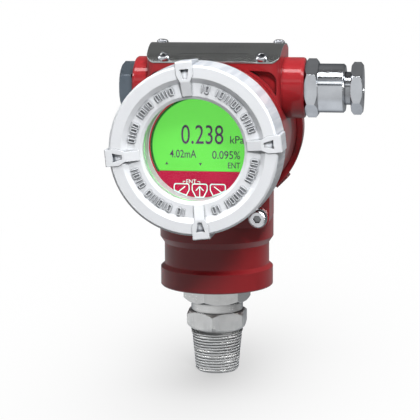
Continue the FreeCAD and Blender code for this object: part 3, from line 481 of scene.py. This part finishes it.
def rubber(name):
    """Black nitrile with a bloom of grey dust."""
    recipe = Recipe(name)
    dust = recipe.noise(300.0, 4.0)
    tone = recipe.blend(dust.ramp(0.45, 0.8), (0.012, 0.012, 0.013), (0.05, 0.05, 0.052))
    return recipe.surface(base_color=tone, roughness=0.55 + dust * 0.25,
                          normal=recipe.bump(recipe.noise(1800.0), 0.00002))


def lit_panel(name):
    """Backlit display: even glow, fine grid of dots, painted shade along its rim and bottom edge
    where its frame shades it.
    """
    recipe = Recipe(name)
    radius, _ = recipe.from_barrel()
    across, _, up = recipe.split()
    wave = 2 * math.pi / DOT_PITCH
    dots = (across * wave).math("SINE") * (up * wave).math("SINE")
    glow = recipe.noise(30.0, 2.0)
    tone = recipe.mottled(glow * 0.5 + dots * 0.03, settings("display").lit, 0.93, 1.05)
    # Painted shade: a dark green rim and bottom line where the frame shades the panel.
    rim = radius.ramp(*LCD_SHADE_RIM) + (LCD_LOW + 0.75 * MM - up).ramp(0.0, 0.4 * MM)
    tone = recipe.blend(rim.clamped() * 0.75, tone, (0.01, 0.13, 0.015))
    shaded = recipe.blend(0.65, tone, (0.0, 0.0, 0.0))
    return recipe.surface(base_color=shaded, roughness=0.4 + glow * 0.1, specular_ior_level=0.1,
                          emission_color=tone, emission_strength=1.6,
                          normal=recipe.bump(dots, 0.000004))


def film(name, rgb, roughness=0.4):
    """Printed polyester film: satin, fine grain, painted shade on its edges and in a dark ring
    round the panel, a pale outer line, and a painted glow that gives much of its colour.
    """
    recipe = Recipe(name)
    normal, edge = recipe.soft_edges(0.0002)
    patches = recipe.noise(120.0, 3.0)
    grain = recipe.noise(3500.0, 2.0)
    tone = recipe.mottled(patches, rgb, 0.85, 1.1)
    # Edges darkened: painted shade.
    tone = recipe.blend(edge * 0.5, tone, scaled(rgb, 0.35))
    radius, _ = recipe.from_barrel()
    beside = recipe.split()[2] > LCD_LOW
    # Dark green ring: painted shade of the display opening's bevel.
    line = radius.between(*LCD_BEVEL_SHADE_RING) * beside
    tone = recipe.blend(line, tone, (0.006, 0.075, 0.016))
    tone = recipe.blend((radius > PALE_LINE_START) * 0.9, tone, (0.40, 0.55, 0.50))
    # Base colour halved and the same colour given as emission: a painted glow on a film that is no
    # lamp.
    shaded = recipe.blend(0.5, tone, (0.0, 0.0, 0.0))
    return recipe.surface(base_color=shaded, roughness=roughness + grain * 0.12,
                          specular_ior_level=0.1, emission_color=tone, emission_strength=1.1,
                          normal=recipe.bump(grain, 0.000006, normal))


def window(name):
    """Clear window that lets lamp light through to the display."""
    recipe = Recipe(name)
    smears = recipe.noise(160.0, 4.0).ramp(0.5, 0.8)
    tint = recipe.blend(smears, (0.97, 1.0, 0.985), (0.94, 0.97, 0.96))
    glass = recipe.node("ShaderNodeBsdfPrincipled", inputs={
        "Base Color": tint, "Roughness": smears * 0.02, "IOR": 1.12, "Transmission Weight": 1.0})
    clear = recipe.node("ShaderNodeBsdfTransparent")
    shadow = recipe.node("ShaderNodeLightPath").outputs["Is Shadow Ray"]
    return recipe.finished(recipe.mixed(shadow, glass, clear))


def circuit_board(name):
    """Solder mask with copper runs under it and tinned pads."""
    recipe = Recipe(name)
    cells = recipe.node("ShaderNodeTexVoronoi", {"distance": "MANHATTAN"},
                        {"Vector": recipe.place, "Scale": 420.0})
    run = Number(recipe, cells.outputs["Distance"]).between(0.28, 0.42)
    pad = Number(recipe, cells.outputs["Distance"]) < 0.10
    tone = recipe.blend(run, (0.010, 0.085, 0.030), (0.025, 0.16, 0.055))
    tone = recipe.blend(pad, tone, (0.72, 0.70, 0.66))
    return recipe.surface(base_color=tone, metallic=pad * 0.9, roughness=0.35 - pad * 0.1,
                          normal=recipe.bump(run + pad, 0.00002))


def engraved_plate(name, rgb):
    """Polished plate with rows of etched blank fields, a long brushed grain and a painted highlight
    on its edges.
    """
    recipe = Recipe(name)
    normal, edge = recipe.soft_edges(0.00012)
    across, along, up = recipe.split()
    brushed = recipe.noise(500.0, 4.0, stretch=(0.05, 1.0, 1.0))
    stains = recipe.noise(80.0, 4.0)
    lift = up - (PLATE_TOP - NAMEPLATE_RADIUS)
    slope = (-along).math("ARCTAN2", lift) * NAMEPLATE_RADIUS
    dashes = (across * (1 / (1.7 * MM))).math("FRACT") > 0.28
    rows = ((slope - 3.1 * MM) / (2.2 * MM)).math("FRACT").between(0.40, 0.60)
    columns = across.between(-23 * MM, -16 * MM) + across.between(2 * MM, 13 * MM)
    block = slope.between(3.1 * MM, 9.6 * MM) * columns
    long_row = slope.between(14.2 * MM, 14.9 * MM) * across.between(-14 * MM, 16 * MM)
    etched = (block * rows + long_row) * dashes
    tone = recipe.mottled(stains, rgb, 0.85, 1.1)
    tone = recipe.blend(etched * 0.5, tone, scaled(rgb, 0.35))
    # Edges lightened: a painted highlight.
    tone = recipe.blend(edge * 0.2, tone, (0.7, 0.78, 0.80))
    return recipe.surface(
        base_color=tone, metallic=1.0, roughness=0.12 + brushed * 0.12,
        normal=recipe.bump(brushed, 0.000006, normal))


def ink(name, rgb):
    """Printed or shown line: matt, a little uneven."""
    recipe = Recipe(name)
    uneven = recipe.noise(900.0, 3.0)
    tone = recipe.mottled(uneven, rgb, 0.8, 1.15)
    return recipe.surface(base_color=tone, roughness=0.4 + uneven * 0.2,
                          normal=recipe.bump(uneven, 0.000005))


def dress(material, *names):
    """Put a material on CAD nodes or new pieces."""
    for name in names:
        piece = NODES.get(name) or bpy.data.objects[name]
        piece.data.materials.clear()
        piece.data.materials.append(material)


# -------------------------------- modelling helpers

def deselect():
    if bpy.context.mode != "OBJECT":
        bpy.ops.object.mode_set(mode="OBJECT")
    bpy.ops.object.select_all(action="DESELECT")


def only(piece):
    """Make a piece the only selected and the active one."""
    deselect()
    piece.select_set(True)
    bpy.context.view_layer.objects.active = piece
    return piece


def named(name):
    piece = bpy.context.object
    piece.name = piece.data.name = name
    return piece


def settle(piece):
    """Move a piece's place, turn and size into its mesh."""
    only(piece)
    bpy.ops.object.transform_apply(location=True, rotation=True, scale=True)
    return piece


def copied(piece, name, matrix=None):
    """A copy with its own mesh, moved by a matrix."""
    twin = piece.copy()
    twin.data = piece.data.copy()
    twin.name = twin.data.name = name
    bpy.context.scene.collection.objects.link(twin)
    twin.parent = None
    if matrix:
        twin.data.transform(matrix)
    return twin


def edit(piece):
    """Go to edit mode with all of a piece selected."""
    only(piece)
    bpy.ops.object.mode_set(mode="EDIT")
    bpy.ops.mesh.select_all(action="SELECT")


def copied_node(node, name):
    """A copy of a CAD node that no longer counts as one, with its split vertices welded."""
    twin = copied(NODES[node], name)
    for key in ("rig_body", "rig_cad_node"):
        if key in twin:
            del twin[key]
    edit(twin)
    bpy.ops.mesh.remove_doubles(threshold=WELD)
    bpy.ops.object.mode_set(mode="OBJECT")
    return twin


def joined(pieces, name):
    """Join pieces into one."""
    only(pieces[0])
    for piece in pieces[1:]:
        piece.select_set(True)
    bpy.ops.object.join()
    return named(name)


def removed(piece):
    bpy.data.objects.remove(piece, do_unlink=True)


def pick(piece, wanted, kind="FACE"):
    """In edit mode, select the faces, edges or vertices that pass a test."""
    bpy.ops.mesh.select_mode(type=kind)
    bpy.ops.mesh.select_all(action="DESELECT")
    mesh = bmesh.from_edit_mesh(piece.data)
    parts = {"FACE": mesh.faces, "EDGE": mesh.edges, "VERT": mesh.verts}[kind]
    for part in parts:
        part.select_set(bool(wanted(part)))
    mesh.select_flush_mode()
    bmesh.update_edit_mesh(piece.data)


def turned_outwards():
    """In edit mode, point all faces outwards and leave edit mode."""
    bpy.ops.mesh.select_all(action="SELECT")
    bpy.ops.mesh.normals_make_consistent(inside=False)
    bpy.ops.object.mode_set(mode="OBJECT")


def raised_rim(inset, rise):
    """In edit mode, turn each flat face into a rim of this width that stands out to the front."""
    bpy.ops.mesh.select_all(action="SELECT")
    bpy.ops.mesh.inset(thickness=inset)
    bpy.ops.mesh.delete(type="FACE")
    bpy.ops.mesh.select_all(action="SELECT")
    bpy.ops.mesh.extrude_region_move(TRANSFORM_OT_translate={"value": (0, -rise, 0)})
    turned_outwards()


def modified(piece, kind, **options):
    """Add a modifier and apply it."""
    only(piece)
    modifier = piece.modifiers.new(kind.title(), kind)
    for name, option in options.items():
        setattr(modifier, name, option)
    bpy.ops.object.modifier_apply(modifier=modifier.name)
    return piece


def smooth(piece, angle):
    only(piece)
    bpy.ops.object.shade_smooth_by_angle(angle=math.radians(angle))
    return piece


def around_barrel(angle):
    """Turn about the barrel axis, counter-clockwise as seen from the front."""
    turn = Matrix.Rotation(-angle, 4, "Y")
    return Matrix.Translation(BARREL) @ turn @ Matrix.Translation(-BARREL)


def bar(name, start, end, width, thick, front):
    """A flat bar on the display between two (x, z) points, its face at front."""
    x0, z0 = start
    x1, z1 = end
    run = math.hypot(x1 - x0, z1 - z0)
    deselect()
    centre = ((x0 + x1) / 2, front + thick / 2, (z0 + z1) / 2)
    bpy.ops.mesh.primitive_cube_add(size=1, location=centre)
    piece = named(name)
    piece.scale = (run + width, thick, width)
    piece.rotation_euler = (0, -math.atan2(z1 - z0, x1 - x0), 0)
    settle(piece)
    return modified(piece, "BEVEL", width=width * 0.3, segments=2, limit_method="ANGLE")


def words(name, text, low, high, front, thick, bold):
    """Text that fills a box between two (x, z) corners, its face at front and its strokes bold."""
    deselect()
    bpy.ops.object.text_add()
    bpy.context.object.data.body = text
    bpy.context.object.data.extrude = 0.05
    bpy.context.object.data.offset = bold
    bpy.ops.object.convert(target="MESH")
    piece = named(name)
    corners = [Vector(corner) for corner in piece.bound_box]
    least = Vector([min(corner[axis] for corner in corners) for axis in range(3)])
    most = Vector([max(corner[axis] for corner in corners) for axis in range(3)])
    size = most - least
    fit = Matrix.Diagonal(((high[0] - low[0]) / size.x, (high[1] - low[1]) / size.y,
                           thick / size.z, 1))
    stand = Matrix.Rotation(math.pi / 2, 4, "X")
    piece.data.transform(Matrix.Translation((low[0], front + thick, low[1])) @ stand @ fit
                         @ Matrix.Translation(-least))
    return piece


# -------------------------------- operators

class Step(bpy.types.Operator):
    """Base of the transmitter's operators."""
    bl_options = {"REGISTER", "UNDO"}


class TRANSMITTER_OT_studio(Step):
    """Set up the camera, the floor, the soft boxes and the backdrop"""
    bl_idname = "transmitter.studio"
    bl_label = "Studio"

    # Camera: height it aims at, how far it stands aside and above that, its lens shift
    aim_height = 0.0608
    aside, above = 0.01056, 0.02031
    lens_shift = (-0.07355, -0.05145)
    lamp_distance, lamp_aim = 1.3, Vector((0, 0, 0.08))
    # Floor: light it bounces, share that no lamp changes and its level, and the painted shadow
    # round the foot: how fast it fades to white, and the share by which front-to-back distance
    # counts
    bounce, evenness, near_glow = 0.12, 0.75, 0.56
    fade_length, depth_share = 26 * MM, 0.2
    # Gloss: degrees and extra strength of its bright strips, and how far up it shows the cards
    bright_strips = ((24.5, 35.0, 1.2), (63.5, 77.5, 13.0))
    card_top = 0.28
    # Name, azimuth, elevation, width and height, share of the lamp power
    lamps = (("key_box", 22, 38, (0.30, 0.30), 1),
             ("top_box", 5, 72, (0.40, 0.40), 0.78),
             ("front_box", -5, 12, (1.2, 0.8), 0.03),
             ("right_box", 75, 25, (0.8, 0.8), 0.14),
             ("back_box", 160, 45, (0.8, 0.8), 0.42))

    @staticmethod
    def direction(turn, lift):
        """The way to this azimuth and elevation; azimuth 0 is in front of the window."""
        return Vector((math.sin(turn) * math.cos(lift), -math.cos(turn) * math.cos(lift),
                       math.sin(lift)))

    def camera(self, studio):
        back = self.direction(studio.azimuth, studio.elevation)
        right = Vector((math.cos(studio.azimuth), math.sin(studio.azimuth), 0))
        up = back.cross(right)
        place = (Vector((0, 0, self.aim_height)) + back * studio.distance
                 + right * self.aside + up * self.above)
        deselect()
        bpy.ops.object.camera_add(location=place)
        eye = bpy.context.object
        turned = Matrix((right, up, back)).transposed().to_4x4()
        eye.matrix_world = Matrix.Translation(place) @ turned
        eye.data.lens = studio.focal_length
        eye.data.shift_x, eye.data.shift_y = self.lens_shift
        eye.data.clip_start = 0.01
        bpy.context.scene.camera = eye

    def lamp(self, name, azimuth, elevation, size, power):
        """A soft box that lights but shows in no reflection."""
        away = self.direction(math.radians(azimuth), math.radians(elevation))
        deselect()
        bpy.ops.object.light_add(type="AREA", location=away * self.lamp_distance + self.lamp_aim)
        lamp = bpy.context.object
        lamp.name = name
        lamp.data.shape = "RECTANGLE"
        lamp.data.size, lamp.data.size_y = size
        lamp.data.energy = power
        lamp.rotation_euler = away.to_track_quat("Z", "Y").to_euler()
        lamp.visible_camera = lamp.visible_glossy = False

    def cards(self, recipe, across, along):
        """How light the room is in a gloss, by the side it lies on."""
        turn = across.math("ARCTAN2", -along) * (0.5 / math.pi) + 0.5
        levels = ((-180, 0.25), (-165, 0.4), (-128, 0.66), (-80, 1.0), (-40, 1.0), (0, 0.88),
                  (52, 0.52), (98, 0.28), (125, 0.45), (165, 0.4), (180, 0.25))
        stops = [(0.5 + angle / 360, (level * 0.98, level * 0.99, level))
                 for angle, level in levels]
        return recipe.node("ShaderNodeValToRGB", {"stops": stops}, {"Fac": turn}).outputs["Color"]

    def floor(self, studio):
        """Pale paper with a painted shadow round the foot, grey there and turning plain white away
        from it, over the lamps' real shadow; it bounces little light.
        """
        deselect()
        bpy.ops.mesh.primitive_plane_add(size=40, location=(0, 0, -0.05 * MM))
        floor = named("studio_floor")
        recipe = Recipe("floor_paper")
        paths = recipe.node("ShaderNodeLightPath").outputs
        seen = Number(recipe, paths["Is Camera Ray"]).math("MAXIMUM", paths["Is Glossy Ray"])
        seen = seen.math("MAXIMUM", paths["Is Transmission Ray"])
        across, along, _ = recipe.split()
        paper = tuple(studio.floor_colour)
        lit = recipe.node("ShaderNodeBsdfDiffuse", inputs={"Color": paper})
        dim = recipe.node("ShaderNodeBsdfDiffuse", inputs={"Color": scaled(paper, self.bounce)})
        near = recipe.mixed(self.evenness, lit, recipe.glow(WHITE, self.near_glow))
        # Painted shadow: the floor is greyer near the foot and fades to white with distance,
        # stretched front to back.
        widened = (across * across + along * along * self.depth_share) ** 0.5
        fade = 1.0 - (widened * (-1 / self.fade_length)).math("EXPONENT")
        pale = recipe.mixed(fade, near, recipe.glow(WHITE))
        distance = (across * across + along * along) ** 0.5
        shiny = recipe.glow(recipe.blend(distance.ramp(0.07, 0.13), (0.90, 0.92, 0.95),
                                         self.cards(recipe, across, along)))
        mixed = recipe.mixed(seen, dim, recipe.mixed(paths["Is Camera Ray"], shiny, pale))
        floor.data.materials.append(recipe.finished(mixed))

    def backdrop(self, studio):
        """White to the eye, a soft even light on the object, and card strips in its gloss."""
        world = bpy.data.worlds.new("studio_room")
        bpy.context.scene.world = world
        recipe = Recipe(world.name, world)
        way = recipe.node("ShaderNodeTexCoord").outputs["Generated"]
        across, along, up = recipe.split(way)
        height = up.math("ARCTAN2", -along) * (1 / math.pi)
        # Degrees from the front horizon over the top, level, and its green and blue share
        levels = ((0, 1, 1, 1), (15, 1, 1, 1), (17, 0.05, 1.3, 1.6), (23.5, 0.05, 1.3, 1.6),
                  (25, 1, 1, 1), (34, 1, 1, 1), (36, 0.3, 1.1, 1.25), (41, 0.45, 1, 1),
                  (50, 0.45, 1, 1), (52, 0.12, 1, 1), (63, 0.13, 1, 1), (64, 1, 1, 1),
                  (77, 1, 1, 1), (80, 0.2, 1, 1), (95, 0.17, 1, 1), (112, 0.27, 1, 1),
                  (180, 0.17, 1, 1))
        stops = [(angle / 180, (level, level * green, level * blue))
                 for angle, level, green, blue in levels]
        strips = recipe.node("ShaderNodeValToRGB", {"stops": stops}, {"Fac": height})
        strength = 1.0
        for low, high, extra in self.bright_strips:
            strength = strength + height.between(low / 180, high / 180) * extra
        gloss_colour = recipe.blend(height < self.card_top, strips.outputs["Color"],
                                    self.cards(recipe, across, along), "MULTIPLY")
        paths = recipe.node("ShaderNodeLightPath").outputs
        background = "ShaderNodeBackground"
        plain = recipe.glow((0.96, 0.98, 1.0), studio.ambient, background)
        gloss = recipe.glow(gloss_colour, strength, background)
        white = recipe.glow(WHITE, 1.0, background)
        seen = Number(recipe, paths["Is Camera Ray"]).math("MAXIMUM", paths["Is Transmission Ray"])
        mixed = recipe.mixed(seen, recipe.mixed(paths["Is Glossy Ray"], plain, gloss), white)
        recipe.node("ShaderNodeOutputWorld", inputs={"Surface": mixed.outputs[0]})

    def execute(self, context):
        studio = settings("studio")
        context.scene.view_settings.view_transform = "Standard"
        self.camera(studio)
        self.floor(studio)
        for name, azimuth, elevation, size, share in self.lamps:
            self.lamp(name, azimuth, elevation, size, studio.lamp_power * share)
        self.backdrop(studio)
        return {"FINISHED"}


class TRANSMITTER_OT_castings(Step):
    """Paint the housing and both covers"""
    bl_idname = "transmitter.castings"
    bl_label = "Painted castings"

    def execute(self, context):
        paint = settings("paint")
        dress(enamel("housing_enamel", paint.housing), "housing", "rear_cover")
        dress(powder_coat("cover_powder_coat", paint.cover), "front_cover")
        return {"FINISHED"}


class TRANSMITTER_OT_metalwork(Step):
    """Give the plated, steel, stainless and brass pieces their finishes"""
    bl_idname = "transmitter.metalwork"
    bl_label = "Metal pieces"

    def execute(self, context):
        shades = settings("metal")
        dress(metal("nickel_plate", shades.nickel, 0.05, (8.0, 1.0, 1.0), 500.0),
              "gland_body", "gland_nut", "gland_washer")
        dress(metal("plug_zinc", shades.plug, 0.34, grain=700.0, edges=0.0004), "blanking_plug")
        dress(metal("stainless_turned", shades.stainless, 0.16, (1.0, 1.0, 9.0), 500.0),
              "sensor_body", "sensor_capsule")
        dress(metal("screw_steel", shades.screw, 0.10, edge_highlight=0.5, closed=0.25, reach=0.001),
              "nameplate_screws", "board_screws", "terminal_screws", "terminal_block_screws")
        dress(metal("ground_steel", (0.72, 0.73, 0.75), 0.18, edge_highlight=0.4, closed=0.15),
              "ground_screw", "ground_washer")
        dress(metal("keeper_steel", (0.40, 0.41, 0.42), 0.25), "window_retaining_ring")
        dress(metal("brass_turned", (0.62, 0.42, 0.16), 0.2, (1.0, 6.0, 1.0)),
              "board_standoffs")
        dress(engraved_plate("nameplate_steel", shades.plate), "nameplate")
        return {"FINISHED"}


class TRANSMITTER_OT_inner_pieces(Step):
    """Give the window, seals, boards, plastics, display and keys their finishes"""
    bl_idname = "transmitter.inner_pieces"
    bl_label = "Window, display and inside"

    def execute(self, context):
        overlay = settings("display").overlay
        dress(window("window_clear"), "window_glass")
        dress(rubber("nitrile"), "front_cover_seal", "rear_cover_seal", "neck_seal", "capsule_seal",
              "conduit_seals", "gland_bush")
        dress(moulding("display_moulding", (0.50, 0.49, 0.52)), "display_body")
        dress(plastic("terminal_moulding", (0.035, 0.035, 0.038), 0.45), "terminal_block")
        dress(plastic("potting_resin", (0.30, 0.20, 0.08), 0.35), "bulkhead_feedthrough")
        dress(lit_panel("display_lit"), "lcd_panel")
        dress(film("overlay_film", overlay), "faceplate")
        dress(film("key_film", overlay, 0.46), "key_left", "key_middle", "key_right")
        dress(circuit_board("board_mask"), "main_board", "sensor_board")
        return {"FINISHED"}


class TRANSMITTER_OT_process_thread(Step):
    """Turn the tapered process thread and its relief under the adapter's hexagon"""
    bl_idname = "transmitter.process_thread"
    bl_label = "Process thread"

    def rod(self, thread):
        """A bar with the thread on it: a zigzag swept up a helix, tapered and closed."""
        deselect()
        bpy.ops.mesh.primitive_circle_add(vertices=5, radius=1, rotation=(math.pi / 2, 0, 0))
        rod = settle(named("thread_rod"))
        crest, root = thread.low_radius, thread.low_radius - thread.depth
        profile = ((crest, 0), (crest, 0.28), (root, 0.56), (root, 0.72), (crest, 1))
        for vertex, (radius, rise) in zip(rod.data.vertices, profile):
            vertex.co = (radius, 0, (rise - 2) * thread.pitch)
        edit(rod)
        closing = 0.9 * thread.pitch
        pick(rod, lambda edge: abs(edge.verts[0].co.z - edge.verts[1].co.z) > closing, "EDGE")
        bpy.ops.mesh.delete(type="EDGE")
        bpy.ops.object.mode_set(mode="OBJECT")
        modified(rod, "SCREW", angle=2 * math.pi, screw_offset=thread.pitch, steps=ROUND_STEPS,
                 render_steps=ROUND_STEPS, use_smooth_shade=False,
                 iterations=math.ceil(thread.top / thread.pitch) + 3)
        for vertex in rod.data.vertices:
            widen = 1 + thread.taper * vertex.co.z / thread.low_radius
            vertex.co.x *= widen
            vertex.co.y *= widen
        edit(rod)
        bpy.ops.mesh.remove_doubles(threshold=0.004 * MM)
        for height, side in ((0.02 * MM, "clear_inner"), (thread.top, "clear_outer")):
            bpy.ops.mesh.select_all(action="SELECT")
            bpy.ops.mesh.bisect(plane_co=(0, 0, height), plane_no=(0, 0, 1), use_fill=True,
                                **{side: True})
        turned_outwards()
        return rod

    def collar(self, thread):
        """The turned relief between the thread and the hexagon."""
        deselect()
        low, high = thread.top - 0.4 * MM, thread.seat + 0.2 * MM
        bpy.ops.mesh.primitive_cylinder_add(vertices=ROUND_STEPS, radius=thread.relief_radius,
                                            depth=high - low, location=(0, 0, (high + low) / 2))
        collar = settle(named("thread_relief"))
        return modified(collar, "BEVEL", width=0.15 * MM, segments=2, limit_method="ANGLE")

    def trimmed_hexagon(self, adapter, thread):
        """Cut the adapter off at the hexagon's underside and chamfer that."""
        half, cone_depth, flare = 30 * MM, 10 * MM, 12.5 * MM
        deselect()
        bpy.ops.mesh.primitive_cube_add(size=half * 2, location=(0, 0, thread.seat - half))
        block = settle(named("thread_block"))
        modified(adapter, "BOOLEAN", operation="DIFFERENCE", solver="EXACT", object=block)
        removed(block)
        bpy.ops.mesh.primitive_cone_add(vertices=96, radius1=thread.chamfer_radius,
                                        radius2=thread.chamfer_radius + flare, depth=cone_depth,
                                        location=(0, 0, thread.seat + cone_depth / 2 - 0.01 * MM))
        cone = settle(named("thread_chamfer"))
        modified(adapter, "BOOLEAN", operation="INTERSECT", solver="EXACT", object=cone)
        removed(cone)

    def execute(self, context):
        thread = settings("thread")
        adapter = copied_node("process_adapter", "threaded_adapter")
        lower = [modified(piece, "BOOLEAN", operation="INTERSECT", solver="EXACT", object=adapter)
                 for piece in (self.rod(thread), self.collar(thread))]
        self.trimmed_hexagon(adapter, thread)
        made = smooth(joined([adapter, *lower], "threaded_adapter"), 25)
        dress(metal("thread_stainless", settings("metal").stainless, 0.42, (1.0, 1.0, 6.0), 600.0,
                    edges=0.0001, painted_recess_shade=0.6), made.name)
        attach(made, "transmitter")
        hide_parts("process_adapter")
        return {"FINISHED"}


class TRANSMITTER_OT_dish_marks(Step):
    """Raise four rows of plain marks on the front cover's dish"""
    bl_idname = "transmitter.dish_marks"
    bl_label = "Dish marks"
    # One row between each two lugs: o is a frame, i a bar, n a pair of bars, - a space
    rows = ("oino-onoi-ooio", "noio-oinoio-oi", "oi-nooin-ioono", "onio-oonioi-oi")
    row_arc, lug_turn = 66, 5.7

    def frame_mark(self, marks, dish):
        """A rounded frame, closed all round."""
        deselect()
        bpy.ops.mesh.primitive_plane_add(size=1, rotation=(math.pi / 2, 0, 0))
        mark = named("frame_mark")
        mark.scale = (marks.width, marks.height, 1)
        mark.location = (0, dish, BARREL.z + marks.radius)
        edit(settle(mark))
        bpy.ops.mesh.bevel(offset=marks.width * 0.28, segments=3, affect="VERTICES")
        raised_rim(marks.stroke, marks.rise)
        return mark

    def bar_mark(self, marks, dish):
        """A short rounded bar that stands radially."""
        deselect()
        bpy.ops.mesh.primitive_cube_add(size=1)
        mark = named("bar_mark")
        mark.scale = (marks.stroke, marks.rise, marks.height)
        mark.location = (0, dish - marks.rise / 2, BARREL.z + marks.radius)
        settle(mark)
        return modified(mark, "BEVEL", width=marks.stroke * 0.3, segments=2)

    def execute(self, context):
        marks = settings("marks")
        dish = COVER_LOW.y + DISH_DEPTH
        single = self.bar_mark(marks, dish)
        aside = 0.4 * marks.width / marks.radius
        pair = [copied(single, "bar", around_barrel(side * aside)) for side in (-1, 1)]
        masters = {"o": self.frame_mark(marks, dish), "i": single, "n": joined(pair, "pair_mark")}
        pieces = []
        for quarter, row in enumerate(self.rows):
            pitch = math.radians(self.row_arc / len(row))
            first = (math.radians(self.lug_turn) + (quarter + 0.5) * math.pi / 2
                     - pitch * (len(row) - 1) / 2)
            for step, kind in enumerate(row):
                if kind in masters:
                    turn = around_barrel(first + step * pitch)
                    pieces.append(copied(masters[kind], "mark", turn))
        for master in masters.values():
            removed(master)
        made = smooth(joined(pieces, "dish_marks"), 40)
        # The marks take a greyer copy of the cover's powder coat: painted shade on the raised
        # marks.
        dress(powder_coat("mark_powder_coat", (0.70, 0.72, 0.75)), made.name)
        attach(made, "front_cover")
        return {"FINISHED"}


class TRANSMITTER_OT_reading(Step):
    """Show a plain reading on the display"""
    bl_idname = "transmitter.reading"
    bl_label = "Reading"

    def execute(self, context):
        display = settings("display")
        front = LCD_FRONT - 0.04 * MM
        thick = 0.03 * MM
        base = BARREL.z
        # Text and the corners of its box, in millimetres from the barrel axis
        boxes = {
            "reading_digits": (display.reading, (-7.7, 0.9), (9.7, 8.7)),
            "reading_unit": (display.reading_unit, (12.5, 1.3), (18.3, 4.4)),
            "current_digits": (display.loop_current, (-12.5, -4.8), (-1.5, -1.6)),
            "share_digits": (display.span_share, (5.1, -5.1), (16.6, -1.8)),
            "enter_word": (display.enter_word, (11.6, -8.9), (16.6, -6.5)),
        }
        pieces = [words(name, text, (x0 * MM, base + z0 * MM), (x1 * MM, base + z1 * MM), front,
                        thick, 0.0 if name == "reading_digits" else 0.006)
                  for name, (text, (x0, z0), (x1, z1)) in boxes.items()]
        for name, x, turn in (("scroll_up", -13.8, 0), ("scroll_down", 0.2, math.pi)):
            deselect()
            bpy.ops.mesh.primitive_cylinder_add(
                vertices=3, radius=0.75 * MM, depth=thick, rotation=(math.pi / 2, turn, 0),
                location=(x * MM, front + thick / 2, base - 7.3 * MM))
            arrow = settle(named(name))
            modified(arrow, "BEVEL", width=0.06 * MM, segments=2, limit_method="ANGLE")
            pieces.append(arrow)
        made = joined(pieces, "reading")
        dress(ink("display_ink", display.ink), made.name)
        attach(made, "transmitter")
        return {"FINISHED"}


class TRANSMITTER_OT_key_prints(Step):
    """Print the outlines, arrows and bracket round the keys"""
    bl_idname = "transmitter.key_prints"
    bl_label = "Key prints"

    def outline(self, node, width, thick):
        """The rim of a key's face as a thin line."""
        piece = copied_node(node, node + "_print")
        edit(piece)
        pick(piece, lambda face: face.normal.y > -0.9)
        bpy.ops.mesh.delete(type="FACE")
        bpy.ops.mesh.select_all(action="SELECT")
        bpy.ops.mesh.dissolve_limited(angle_limit=math.radians(1))
        raised_rim(width, thick)
        return piece

    def execute(self, context):
        display = settings("display")
        line, thick = 0.38 * MM, 0.04 * MM
        print_ink = ink("print_ink", display.print_colour)
        # Ends of each stroke, in millimetres from the middle of the key
        lines = {
            "key_left": [((-1.6, -1.2), (1.3, 1.2))],
            "key_middle": [((0, -2.4), (0, 1.7)), ((-1.5, 0.1), (0, 1.7)), ((1.5, 0.1), (0, 1.7))],
            "key_right": [((-1.4, 1.3), (1.5, -0.9))],
        }
        for node, strokes in lines.items():
            centre = middle(node)
            pieces = [self.outline(node, line, thick)]
            for step, (start, end) in enumerate(strokes):
                ends = [(centre.x + x * MM, centre.z + z * MM) for x, z in (start, end)]
                pieces.append(bar(f"{node}_stroke_{step}", *ends, line, thick, KEY_FRONT - thick))
            made = joined(pieces, node + "_print")
            dress(print_ink, made.name)
            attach(made, node)
        left, mid = middle("key_left"), middle("key_middle")
        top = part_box("key_left")[1].z
        roof = top + 0.8 * MM
        front = OVERLAY_FRONT - thick
        foot, leg = top + 0.3 * MM, left.x + 0.6 * MM
        strokes = (((leg, foot), (leg, roof)), ((leg, roof), (left.x + 1.3 * MM, roof)),
                   ((mid.x - 0.9 * MM, roof), (mid.x, roof)), ((mid.x, roof), (mid.x, foot)))
        pieces = [bar(f"bracket_{step}", start, end, line * 0.65, thick, front)
                  for step, (start, end) in enumerate(strokes)]
        pieces.append(words("bracket_word", display.enter_word,
                            (left.x + 1.9 * MM, roof - 0.8 * MM),
                            (mid.x - 1.5 * MM, roof + 0.8 * MM), front, thick, 0.0))
        made = joined(pieces, "key_bracket")
        dress(print_ink, made.name)
        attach(made, "transmitter")
        return {"FINISHED"}


STEPS = (TRANSMITTER_OT_studio, TRANSMITTER_OT_castings, TRANSMITTER_OT_metalwork,
         TRANSMITTER_OT_inner_pieces, TRANSMITTER_OT_process_thread, TRANSMITTER_OT_dish_marks,
         TRANSMITTER_OT_reading, TRANSMITTER_OT_key_prints)


class TRANSMITTER_PT_pieces(bpy.types.Panel):
    """Lists the transmitter's pieces and their settings"""
    bl_idname = "TRANSMITTER_PT_pieces"
    bl_label = "Transmitter"
    bl_space_type = "VIEW_3D"
    bl_region_type = "UI"
    bl_category = "Transmitter"

    def draw(self, context):
        for step in STEPS:
            self.layout.operator(step.bl_idname)
        for group, kind in GROUPS:
            box = self.layout.box()
            box.label(text=kind.__doc__)
            for name in kind.__annotations__:
                box.prop(settings(group), name)


def register():
    for group, kind in GROUPS:
        bpy.utils.register_class(kind)
        setattr(bpy.types.Scene, "transmitter_" + group, bpy.props.PointerProperty(type=kind))
    for step in STEPS:
        bpy.utils.register_class(step)
    bpy.utils.register_class(TRANSMITTER_PT_pieces)


def unregister():
    bpy.utils.unregister_class(TRANSMITTER_PT_pieces)
    for step in reversed(STEPS):
        bpy.utils.unregister_class(step)
    for group, kind in reversed(GROUPS):
        delattr(bpy.types.Scene, "transmitter_" + group)
        bpy.utils.unregister_class(kind)


def main():
    register()
    for step in STEPS:
        space, name = step.bl_idname.split(".")
        getattr(getattr(bpy.ops, space), name)()


if __name__ == "__main__":
    main()
